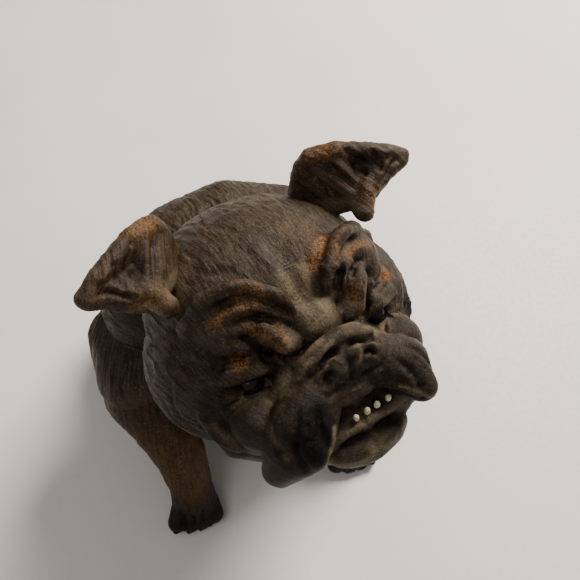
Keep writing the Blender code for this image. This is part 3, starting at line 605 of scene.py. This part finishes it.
def plain_fields(relief, hair, tan=0.0):
    """hair is (crest of the locks, distance across them, distance along them)."""
    crests, across, along = hair
    fine, broad = relief.bulge(3), relief.bulge(40)
    blank = np.zeros(len(relief.points))
    up = ramp((relief.normals @ relief.turn.T)[:, 2], 0.15, 0.95)
    return {"crest": ramp(fine, 0.0, 0.14) * 0.6 + ramp(broad, 0.1, 0.9) * 0.6,
            "crease": ramp(-fine, 0.02, 0.16) * 0.6 + ramp(-broad, 0.1, 0.9) * 0.7,
            "hair": crests, "across": across, "along": along, "up": up, "tan": blank + tan,
            "dust": blank, "black": blank, "ochre": blank, "red": blank}


# ---- cutting: hollows, the neck joint, slots and seats
def seam_frame(y):
    """A frame on the neck joint: x across, y backwards along the joint, z square to it."""
    origin = Vector((0, y + CENTRING, SEAM_HEIGHT + SEAM_SLOPE * y))
    tilt = Matrix.Rotation(math.atan(SEAM_SLOPE), 4, "X")
    return Matrix.Scale(MM, 4) @ Matrix.Translation(origin) @ tilt


def from_bmesh(name, shell):
    mesh = bpy.data.meshes.new(name)
    shell.to_mesh(mesh)
    shell.free()
    return place_object(name, mesh)


def box(name, place, low, high):
    low, high = Vector(low), Vector(high)
    shell = bmesh.new()
    matrix = place @ Matrix.Translation((low + high) / 2) @ Matrix.Diagonal((*(high - low), 1))
    bmesh.ops.create_cube(shell, size=1, matrix=matrix)
    return from_bmesh(name, shell)


def rod(name, place, start, end, radius, segments=32):
    start, end = Vector(start), Vector(end)
    turn = (end - start).to_track_quat("Z", "Y").to_matrix().to_4x4()
    matrix = place @ Matrix.Translation((start + end) / 2) @ turn
    shell = bmesh.new()
    bmesh.ops.create_cone(shell, cap_ends=True, segments=segments, radius1=radius, radius2=radius,
                          depth=(end - start).length, matrix=matrix)
    return from_bmesh(name, shell)


def egg(name, place, centre, radii, turn=(0, 0, 0)):
    spin = Euler([math.radians(a) for a in turn]).to_matrix().to_4x4()
    matrix = place @ Matrix.Translation(centre) @ spin @ Matrix.Diagonal((*radii, 1))
    shell = bmesh.new()
    bmesh.ops.create_icosphere(shell, subdivisions=5, radius=1, matrix=matrix)
    return from_bmesh(name, shell)


def minus(target, *tools):
    """Cuts the tools out of the target."""
    for tool in tools:
        step = target.modifiers.new("cut", "BOOLEAN")
        step.operation = "DIFFERENCE"
        step.solver = "MANIFOLD"
        step.object = tool
    bake(target)
    for tool in tools:
        bpy.data.objects.remove(tool)
    return target


def carve_away(target, *tools):
    """Cuts the tools out of the target, keeping the target's fields and marking its outer skin."""
    mesh = target.data
    tree = KDTree(len(mesh.vertices))
    for index, spot in enumerate(read(mesh.vertices, "co", 3).tolist()):
        tree.insert(spot, index)
    tree.balance()
    kept = {}
    for name in [name for name in FIELDS if name in mesh.attributes]:
        kept[name] = read(mesh.attributes[name].data, "value", 1, np.float32)
        mesh.attributes.remove(mesh.attributes[name])
    minus(target, *tools)
    mesh = target.data
    nearest = np.empty(len(mesh.vertices), np.int64)
    away = np.empty(len(mesh.vertices))
    for index, spot in enumerate(read(mesh.vertices, "co", 3).tolist()):
        _, nearest[index], away[index] = tree.find(spot)
    for name, values in kept.items():
        mesh.attributes.new(name, "FLOAT", "POINT").data.foreach_set("value", values[nearest, 0])
    skin = (away < 0.01 * MM).astype(np.float32)  # only uncut points keep their exact place
    mesh.attributes.new("skin", "FLOAT", "POINT").data.foreach_set("value", skin)


# ---- materials
class Graph:
    """A material's node tree, written as short calls that return output sockets."""

    def __init__(self, name):
        self.material = bpy.data.materials.new(name)
        self.material.use_nodes = True
        self.tree = self.material.node_tree
        self.surface = self.tree.nodes["Principled BSDF"]
        spot = self.node("TexCoord", {}).outputs["Object"]
        self.spot = self.node("VectorMath", {0: spot, "Scale": 1 / MM}, operation="SCALE").outputs[0]

    def node(self, kind, feeds, **settings):
        """A node with its inputs, given by name or place, fed with values or sockets."""
        made = self.tree.nodes.new("ShaderNode" + kind)
        for key, value in settings.items():
            setattr(made, key, value)
        for key, value in feeds.items():
            self.feed(made.inputs[key], value)
        return made

    def feed(self, socket, value):
        if isinstance(value, bpy.types.NodeSocket):
            self.tree.links.new(value, socket)
        elif isinstance(value, tuple) and len(value) == 3 and socket.type == "RGBA":
            socket.default_value = (*value, 1)
        else:
            socket.default_value = value

    def math(self, operation, a, b):
        return self.node("Math", {0: a, 1: b}, operation=operation).outputs[0]

    def times(self, a, *others):
        for other in others:
            a = self.math("MULTIPLY", a, other)
        return a

    def rest(self, share):
        """What a share leaves of 1."""
        return self.math("SUBTRACT", 1.0, share)

    def field(self, name):
        return self.node("Attribute", {}, attribute_name=name).outputs["Fac"]

    def noise(self, scale, detail, stretch=(1, 1, 1), roughness=0.55):
        """Noise with scale lumps to the millimetre."""
        place = self.node("VectorMath", {0: self.spot, 1: stretch}, operation="MULTIPLY").outputs[0]
        feeds = {"Vector": place, "Scale": scale, "Detail": detail, "Roughness": roughness}
        return self.node("TexNoise", feeds).outputs["Fac"]

    def span(self, value, low, high, out_low=0.0, out_high=1.0):
        feeds = {"Value": value, "From Min": low, "From Max": high, "To Min": out_low, "To Max": out_high}
        return self.node("MapRange", feeds, interpolation_type="SMOOTHSTEP").outputs["Result"]

    def mix(self, share, a, b):
        return self.node("Mix", {"Factor": share, 6: a, 7: b}, data_type="RGBA").outputs[2]

    def bump(self, height, distance, strength, under=None):
        feeds = {"Height": height, "Distance": distance * MM, "Strength": strength}
        if under is not None:
            feeds["Normal"] = under
        return self.node("Bump", feeds).outputs["Normal"]

    def finish(self, colour, metallic, roughness, normal):
        for key, value in (("Base Color", colour), ("Metallic", metallic), ("Roughness", roughness),
                           ("Normal", normal)):
            self.feed(self.surface.inputs[key], value)
        return self.material


# linear colours
UMBER_DARK, UMBER, UMBER_GREY = (0.0050, 0.0024, 0.0012), (0.0175, 0.0082, 0.0030), (0.036, 0.0212, 0.0105)
TAN, OCHRE, RED_BROWN = (0.100, 0.045, 0.013), (0.32, 0.125, 0.020), (0.110, 0.024, 0.009)
BLACK_PATINA, DUST, SPECK = (0.0026, 0.0020, 0.0016), (0.25, 0.188, 0.112), (0.42, 0.34, 0.22)
RAW_CAST, RAW_CAST_PALE = (0.040, 0.033, 0.028), (0.15, 0.13, 0.11)
METALS = {  # bright, dull, stain, roughness
    "aged_brass": ((0.24, 0.15, 0.05), (0.11, 0.066, 0.022), (0.03, 0.024, 0.012), 0.42),
    "dull_steel": ((0.34, 0.33, 0.32), (0.15, 0.14, 0.13), (0.10, 0.042, 0.018), 0.42),
    "tinned_sheet": ((0.46, 0.45, 0.42), (0.24, 0.22, 0.20), (0.12, 0.06, 0.03), 0.45),
}


def patina(name):
    """Bronzed spelter: umber lacquer, darker in the creases, rubbed to ochre on the crests, with dust,
    painted highlights on raised edges and, on the head, painted top light.
    """
    g = Graph(name)
    broad = g.noise(0.09, 4)
    middle = g.noise(0.42, 4)
    fine = g.noise(2.2, 5, roughness=0.65)
    grit = g.noise(3.1, 4, roughness=0.7)
    crest, crease, hair, black = g.field("crest"), g.field("crease"), g.field("hair"), g.field("black")
    combed = g.node("CombineXYZ", {0: g.field("across"), 1: g.times(g.field("along"), 0.17)}).outputs[0]
    locks = g.node("TexNoise", {"Vector": combed, "Scale": 0.95, "Detail": 4.0, "Roughness": 0.6,
                                "Distortion": 0.35})
    matted = g.rest(g.times(black, 0.8))
    locks = g.math("ADD", g.times(g.math("SUBTRACT", locks.outputs["Fac"], 0.5), matted), 0.5)

    # the lacquer itself; its tan step also holds the head's painted top light
    clear = g.rest(black)
    colour = g.mix(g.span(broad, 0.38, 0.64), UMBER, UMBER_GREY)
    colour = g.mix(g.span(middle, 0.35, 0.7, 0.0, 0.6), colour, UMBER_DARK)
    # tan: a lighter tone of the lacquer, worn bare on the shins; on the head it is painted top light
    colour = g.mix(g.times(g.field("tan"), g.span(middle, 0.3, 0.65, 0.25, 1.0)), colour, TAN)
    colour = g.mix(g.span(locks, 0.40, 0.52, 0.65, 0.0), colour, UMBER_DARK)
    colour = g.mix(g.times(crease, 0.9), colour, UMBER_DARK)
    colour = g.mix(black, colour, BLACK_PATINA)
    colour = g.mix(g.times(g.field("red"), g.span(fine, 0.35, 0.6, 0.1, 0.7)), colour, RED_BROWN)

    # rubbed crests
    rubbed = g.times(crest, g.span(fine, 0.48, 0.66), g.span(middle, 0.35, 0.6, 0.15, 0.9), clear)
    colour = g.mix(rubbed, colour, TAN)
    colour = g.mix(g.times(g.field("ochre"), g.span(fine, 0.4, 0.62)), colour, OCHRE)

    # dust on top, dust between the locks, painted highlights on the head's raised edges, and specks
    lain = g.times(g.field("up"), g.span(locks, 0.46, 0.66, 0.08, 0.44), g.span(fine, 0.36, 0.7, 0.15, 0.8))
    settled = g.times(g.rest(hair), g.span(middle, 0.4, 0.65, 0.0, 0.6), g.span(fine, 0.45, 0.65))
    settled = g.times(g.math("MAXIMUM", settled, lain), clear)
    # the dust field brings dust and the painted highlights on the head's raised edges
    dust_and_highlight = g.times(g.field("dust"), g.span(fine, 0.3, 0.7, 0.2, 0.85))
    dust_and_highlight = g.math("MAXIMUM", dust_and_highlight, settled)
    colour = g.mix(dust_and_highlight, colour, DUST)
    specks = g.times(g.span(grit, 0.62, 0.70, 0.0, 0.5), g.rest(g.times(black, 0.7)))
    colour = g.mix(specks, colour, SPECK)
    colour = g.mix(g.span(grit, 0.33, 0.42, 0.7, 0.0), colour, BLACK_PATINA)

    # bare casting where the skin was cut: the walls' edges
    raw = g.mix(g.span(fine, 0.35, 0.7), RAW_CAST, RAW_CAST_PALE)
    colour = g.mix(g.rest(g.field("skin")), colour, raw)

    roughness = g.span(middle, 0.3, 0.7, 0.36, 0.56)
    roughness = g.math("ADD", roughness, g.times(dust_and_highlight, 0.35))
    roughness = g.math("SUBTRACT", roughness, g.times(black, 0.05))
    g.feed(g.surface.inputs["Specular IOR Level"], g.math("SUBTRACT", 0.22, g.times(black, 0.13)))
    normal = g.bump(locks, 0.42, 0.75)
    normal = g.bump(fine, 0.24, 0.8, normal)
    normal = g.bump(grit, 0.16, 0.7, normal)
    return g.finish(colour, g.times(rubbed, 0.35), roughness, normal)


def old_metal(name, bright, dull, stain, roughness):
    """Sheet or wire gone dull: bright where rubbed, with stains, scratches and a little dust."""
    g = Graph(name)
    broad, fine = g.noise(0.35, 4), g.noise(2.6, 5, roughness=0.65)
    scratches = g.noise(1.6, 5, (6, 0.4, 1), 0.7)
    colour = g.mix(g.span(broad, 0.38, 0.62), dull, bright)
    colour = g.mix(g.span(fine, 0.52, 0.72, 0.0, 0.8), colour, stain)
    colour = g.mix(g.span(scratches, 0.62, 0.72, 0.0, 0.35), colour, bright)
    colour = g.mix(g.span(g.noise(7, 2), 0.66, 0.76, 0.0, 0.5), colour, DUST)
    rough = g.span(fine, 0.3, 0.7, roughness - 0.1, roughness + 0.2)
    metallic = g.span(fine, 0.5, 0.75, 0.95, 0.35)
    normal = g.bump(scratches, 0.03, 0.5)
    normal = g.bump(fine, 0.05, 0.6, normal)
    return g.finish(colour, metallic, rough, normal)


def dark_glass(name):
    """Near-black glass eye, a little brown, with a film of dust."""
    g = Graph(name)
    g.feed(g.surface.inputs["Specular IOR Level"], 0.3)
    fine, broad = g.noise(4.5, 4), g.noise(0.5, 2)
    colour = g.mix(g.span(broad, 0.4, 0.6), (0.006, 0.005, 0.005), (0.016, 0.008, 0.005))
    film = g.span(fine, 0.58, 0.75, 0.0, 0.35)
    colour = g.mix(film, colour, DUST)
    return g.finish(colour, 0.0, g.span(fine, 0.5, 0.75, 0.12, 0.45), g.bump(fine, 0.01, 0.4))


def tooth_paint(name):
    """Ivory paint, yellowed, with brown in its pits."""
    g = Graph(name)
    fine, broad = g.noise(3.5, 4), g.noise(0.8, 3)
    colour = g.mix(g.span(broad, 0.35, 0.65), (0.62, 0.56, 0.42), (0.46, 0.36, 0.22))
    colour = g.mix(g.span(fine, 0.5, 0.72, 0.0, 0.75), colour, (0.13, 0.075, 0.035))
    return g.finish(colour, 0.0, g.span(fine, 0.3, 0.7, 0.3, 0.5), g.bump(fine, 0.06, 0.6))


def table_top(name):
    """Off-white laminate with a faint mottle."""
    g = Graph(name)
    broad, fine = g.noise(0.006, 3), g.noise(0.5, 4)
    colour = g.mix(g.span(broad, 0.35, 0.65), (0.88, 0.85, 0.80), (0.83, 0.795, 0.745))
    colour = g.mix(g.span(fine, 0.5, 0.75, 0.0, 0.12), colour, (0.62, 0.57, 0.52))
    return g.finish(colour, 0.0, g.span(fine, 0.3, 0.7, 0.5, 0.62), g.bump(fine, 0.02, 0.3))


# ---- the pieces
WORLD = Matrix.Scale(MM, 4) @ Matrix.Translation((0, CENTRING, 0))
SKULL = head_matrix()
HEAD_PLACE = WORLD @ SKULL
HINGE, LOCK = seam_frame(HINGE_Y), seam_frame(LOCK_Y)
FINE = 1.0  # coarser grain while trying things
HOLLOW_GRAIN, SEAT_GRAIN = 1.1, 1.0  # voxels of the forms that only cut


def body_solid(name, grow, voxel, feet=True):
    clay = Clay(grow)
    neck_forms(clay)
    torso_forms(clay)
    if feet:
        hind_foot_forms(clay)
    return clay.skin(name, voxel, 5)


def head_solid(name, grow, voxel):
    clay = Clay(grow)
    neck_forms(clay)
    clay.place = SKULL
    skull_forms(clay)
    return clay.skin(name, voxel, 5)


def below_table():
    return box("table_cut", WORLD, (-REACH, -REACH, -REACH), (REACH, REACH, 0))


def hinge_beds(low, high):
    """Tools for the beds of the hinge's barrel and of one leaf, which lies between two heights."""
    return [rod("barrel_cut", HINGE, (-BARREL_HALF, 0, 0), (BARREL_HALF, 0, 0), BARREL_SEAT),
            box("leaf_cut", HINGE, (-BARREL_HALF, LEAF_FRONT, low), (BARREL_HALF, LEAF_BACK, high))]


def make_body():
    made = body_solid("body_skin", 0, 0.5 * FINE)
    relief = Relief(made)
    hair = comb_body(relief)
    x, y, z = relief.points.T
    fields = plain_fields(relief, hair)
    paws = ramp(y, 8, 2) * (1 - ramp(z, 9, 14))
    fields["black"] = 0.35 * paws
    fields["tan"] = 0.35 * ramp(z, 20, 34) * (1 - ramp(z, 34, 50)) + 0.15
    relief.store(fields)
    hollow = minus(body_solid("body_hollow", -WALL, HOLLOW_GRAIN, feet=False),
                   box("floor_cut", WORLD, (-REACH, -REACH, -REACH), (REACH, REACH, WALL)),
                   box("pad_cut", HINGE, (-PAD_HALF, -14, -6), (PAD_HALF, 5, 5)),
                   box("rib_right", LOCK, (-PAD_HALF, -20, RIB_LOW), (-RIB_INNER, RIB_BACK, 2)),
                   box("rib_left", LOCK, (RIB_INNER, -20, RIB_LOW), (PAD_HALF, RIB_BACK, 2)))
    slot_place = WORLD @ Matrix.Translation(SLOT_SPOT) @ turned(SLOT_TURN, "X")
    face = WORLD @ Matrix.Translation(PLATE_SPOT) @ turned(PLATE_TURN, "X")
    face = face @ Matrix.Diagonal((*PLATE_HALVES, 1, 1))
    opening = WORLD @ Matrix.Translation((0, BASE_Y, 0)) @ Matrix.Diagonal((*BASE_HALVES, 1, 1))
    carve_away(made, hollow, below_table(),
               box("seam_cut", HINGE, (-REACH, -REACH, -GAP / 2), (REACH, REACH, REACH)),
               box("slot_cut", slot_place, -Vector(SLOT_HALVES), SLOT_HALVES),
               rod("base_cut", opening, (0, 0, -5), (0, 0, 6), 1, 96),
               *hinge_beds(-LEAF_SEAT, 2),
               rod("plate_cut", face, (0, 0, -0.8), (0, 0, 8), 1, 64),
               rod("key_cut", LOCK, (0, -30, KEY_HEIGHT), (0, -1.6, KEY_HEIGHT), KEY_RADIUS),
               box("key_slot_cut", LOCK, (-1, -30, KEY_SLOT_FOOT), (1, -1.6, KEY_HEIGHT)))
    return made


def make_head():
    made = head_solid("head_skin", 0, 0.4 * FINE)
    relief = Relief(made, SKULL)
    carve_head(relief)
    hair = comb_head(relief)
    relief.store(head_fields(relief, hair))
    hollow = minus(head_solid("head_hollow", -WALL - 0.8, HOLLOW_GRAIN),
                   box("pad_cut", HINGE, (-PAD_HALF, -14, -5), (PAD_HALF, 5, 6)),
                   box("staple_pad_cut", LOCK, (1, -20, -2), (10.5, 4.5, 7.5)))
    tools = [hollow, box("seam_cut", HINGE, (-REACH, -REACH, -REACH), (REACH, REACH, GAP / 2)),
             *hinge_beds(-2, LEAF_SEAT),
             box("staple_cut", LOCK, (4.3, -2, -3), (6.5, 2.4, 5.3))]
    for name, side in SIDES.items():
        x, y, z = EYE_SPOT
        tools.append(egg("socket_" + name, HEAD_PLACE, (x * side, y, z), [EYE_RADIUS + 0.15] * 3))
        tools.append(egg("opening_" + name, HEAD_PLACE, (x * side, y - 3.4, z), (3.2, 3.4, 0.95),
                         (0, 11 * side, -16 * side)))
    carve_away(made, *tools)
    return made


def make_leg(name, side):
    clay = Clay(side=side)
    front_leg_forms(clay)
    made = clay.skin("foreleg_" + name, 0.45 * FINE, 4)
    relief = Relief(made)
    hair = comb_body(relief, 0.7)
    for toe in (-1.0, 0.0, 1.0):
        spot = 28 * side + 2.9 * toe
        relief.stroke([(spot, -35, 9), (spot + 0.2 * toe, -38.5, 7.5), (spot + 0.6 * toe, -41, 4),
                       (spot + 0.8 * toe, -41.5, 1)], 0.9, -0.9)
    for toe in (-1.5, -0.5, 0.5, 1.5):
        spot = 28.6 * side + 3.8 * toe
        relief.stroke([(spot, -42 + abs(toe), 3.6), (spot, -42.6 + abs(toe), 1.6)], 0.7, 0.5)
    relief.refresh()
    z = relief.points[:, 2]
    fields = plain_fields(relief, hair)
    bare = ramp(z, 9, 18) * (1 - 0.6 * ramp(z, 26, 36))  # the shin, where the lacquer is worn
    fields["tan"] = 0.9 * bare
    fields["ochre"] = 0.16 * bare
    fields["black"] = 0.35 + 0.25 * (1 - ramp(z, 5, 14))
    relief.store(fields)
    carve_away(made, body_solid("leg_seat", -SEAT_DEPTH, SEAT_GRAIN), below_table())
    return made


EAR = [
    ([(21.5, -4, 30.5), (24, -6.5, 27.5), (27, -10, 22)], 0.9, -1.1),
    ([(27.5, -4.6, 33.4), (28.5, -7.6, 29.6), (30, -10.6, 25.4)], 0.9, -1.0),
    ([(33, -8, 31.2), (33.6, -10, 28), (33, -11.4, 24.6)], 0.8, -0.8),
    ([(40, -11.4, 26.6), (36.9, -11.6, 26.4), (34.6, -12.1, 24.6), (31.5, -12.6, 22)], 0.8, -1.0),
    ([(38.6, -10.8, 28.8), (36, -10.6, 29.2), (33, -8.8, 30.6)], 0.9, 0.6),
]


def make_ear(name, side):
    clay = Clay(place=SKULL, side=side)
    ear_forms(clay)
    made = clay.skin("ear_skin_" + name, 0.36 * FINE, 4)
    relief = Relief(made, SKULL)
    relief.strokes(EAR, side)
    relief.soften(1, 0.5)
    relief.refresh()
    x, y, z = relief.points.T
    across, along = 1.1 * (x * side + 0.6 * z), y - 0.4 * z
    hair = (strands(across, along, 1.1, 5, 51), across, along)
    dents = layered_noise(relief.points / 3, 3, 53)
    relief.points += relief.normals * (0.22 * (hair[0] - 0.5) + 0.3 * dents)[:, None]
    relief.refresh()
    fields = plain_fields(relief, hair)
    fields["ochre"] = 0.6 * relief.patch((30 * side, -10, 20), (4, 4, 3))
    fields["ochre"] = np.maximum(fields["ochre"], 0.55 * relief.patch((24 * side, -1, 33), (6, 5, 3)))
    fields["black"] = 0.5 * relief.patch((31 * side, -6, 26), (4, 4, 5))
    fields["dust"] = 0.6 * relief.patch((25 * side, -6, 19.5), (8, 8, 2.2))
    fields["tan"] = fields["tan"] + 0.35
    relief.store(fields)
    carve_away(made, head_solid("ear_seat", -0.7, SEAT_GRAIN))
    return made


def make_tail():
    clay = Clay()
    tail_forms(clay)
    made = clay.skin("tail_skin", 0.45 * FINE, 4)
    relief = Relief(made)
    x, y, z = relief.points.T
    across, along = 1.3 * z + x, x - y
    hair = (strands(across, along, 1.2, 5, 61), across, along)
    relief.points += relief.normals * (0.25 * (hair[0] - 0.5))[:, None]
    relief.refresh()
    relief.store(plain_fields(relief, hair, tan=0.2))
    carve_away(made, body_solid("tail_seat", -SEAT_DEPTH, SEAT_GRAIN), below_table())
    return made


def make_castings():
    castings = patina("bronzed_spelter")
    pieces = [(make_body(), "body", "body_shell"), (make_head(), "head", "head_shell"),
              (make_tail(), "body", "tail")]
    for name, side in SIDES.items():
        pieces.append((make_leg(name, side), "body", "front_leg_" + name))
        pieces.append((make_ear(name, side), "head", "ear_" + name))
    for made, body, node in pieces:
        made.data.materials.clear()
        made.data.materials.append(castings)
        made.data.shade_smooth()
        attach(made, body)
        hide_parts(node)


def make_eyes():
    glass = dark_glass("eye_glass")
    for name, side in SIDES.items():
        x, y, z = EYE_SPOT
        eye = egg("glass_eye_" + name, HEAD_PLACE, (x * side, y, z), [EYE_RADIUS] * 3)
        eye.data.materials.append(glass)
        eye.data.shade_smooth()
        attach(eye, "head")
        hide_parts("eye_" + name)


TEETH = (((-2.0, -36.6, -13.6), 0.8), ((0.9, -36.8, -13.4), 0.9), ((3.7, -36.8, -13.3), 0.9),
         ((6.8, -37.0, -13.2), 0.85))


def make_teeth():
    ivory = tooth_paint("tooth_paint")
    for index, (spot, size) in enumerate(TEETH):
        radii = (0.85 * size, 0.8 * size, 1.15 * size)
        tooth = egg(f"tooth_{index}", HEAD_PLACE, spot, radii, (14, 0, 7 * (index - 2)))
        relief = Relief(tooth, SKULL)
        relief.points += relief.normals * (0.09 * layered_noise(relief.points / 0.8, 2, index))[:, None]
        relief.store({})
        tooth.data.materials.append(ivory)
        tooth.data.shade_smooth()
        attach(tooth, "head")


WORKS = {
    "aged_brass": ("hinge_leaf_body", "hinge_leaf_head", "hinge_rivet_body_left", "hinge_rivet_body_right",
                   "hinge_rivet_head_left", "hinge_rivet_head_right", "lock_rivet_left", "lock_rivet_right",
                   "keyhole_escutcheon", "escutcheon_pin_upper", "escutcheon_pin_lower"),
    "dull_steel": ("hinge_pin", "lock_bolt", "lock_lever", "lock_staple", "key_pin", "lever_pivot",
                   "lever_spring", "staple_rivet"),
    "tinned_sheet": ("base_plate", "lock_case", "lock_cover"),
}


def finish_works():
    """The CAD's own small parts are shown as they are, in old metal."""
    for name, nodes in WORKS.items():
        metal = old_metal(name, *METALS[name])
        for node in nodes:
            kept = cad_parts[node]
            kept.data.materials.clear()
            kept.data.materials.append(metal)


def set_table():
    mesh = bpy.data.meshes.new("table")
    mesh.from_pydata([(-3, -3, 0), (3, -3, 0), (3, 3, 0), (-3, 3, 0)], [], [(0, 1, 2, 3)])
    table = place_object("table", mesh)
    table.data.materials.append(table_top("table_top"))


# ---- light and camera
TARGET = Vector((0.013, 0.00405, 0.060))
CAMERA_TURN, CAMERA_RISE, CAMERA_ROLL, CAMERA_AWAY = -16.5, 54.0, 2.0, 0.189
LENS, SENSOR = 40.34, 36
ROOM_COLOUR, ROOM_STRENGTH = (1.0, 0.975, 0.94, 1), 0.29


def lamp(name, spot, size, power, colour):
    light = bpy.data.lights.new(name, "AREA")
    light.shape = "DISK"
    light.size = size
    light.energy = power
    light.color = colour
    made = place_object(name, light)
    made.location = spot
    made.rotation_euler = (TARGET - Vector(spot)).to_track_quat("-Z", "Y").to_euler()


def light_and_camera():
    lamp("window", (0.46, 0.34, 0.60), 0.36, 12.0, (1.0, 0.955, 0.88))
    lamp("fill", (-0.5, -0.3, 0.9), 0.6, 1.6, (1.0, 0.98, 0.95))
    sky = bpy.data.worlds.new("room")
    sky.use_nodes = True
    inputs = sky.node_tree.nodes["Background"].inputs
    inputs["Color"].default_value = ROOM_COLOUR
    inputs["Strength"].default_value = ROOM_STRENGTH
    bpy.context.scene.world = sky

    turn, rise = math.radians(CAMERA_TURN), math.radians(CAMERA_RISE)
    back = Vector((math.sin(turn) * math.cos(rise), -math.cos(turn) * math.cos(rise), math.sin(rise)))
    right = Vector((math.cos(turn), math.sin(turn), 0))
    up = back.cross(right)
    basis = Matrix((right, up, back)).transposed().to_4x4() @ turned(CAMERA_ROLL, "Z")
    lens = bpy.data.cameras.new("camera")
    lens.lens = LENS
    lens.sensor_width = SENSOR
    lens.clip_start = 0.01
    made = place_object("camera", lens)
    made.matrix_world = Matrix.Translation(TARGET + back * CAMERA_AWAY) @ basis
    bpy.context.scene.camera = made


make_castings()
make_eyes()
make_teeth()
finish_works()
set_table()
light_and_camera()
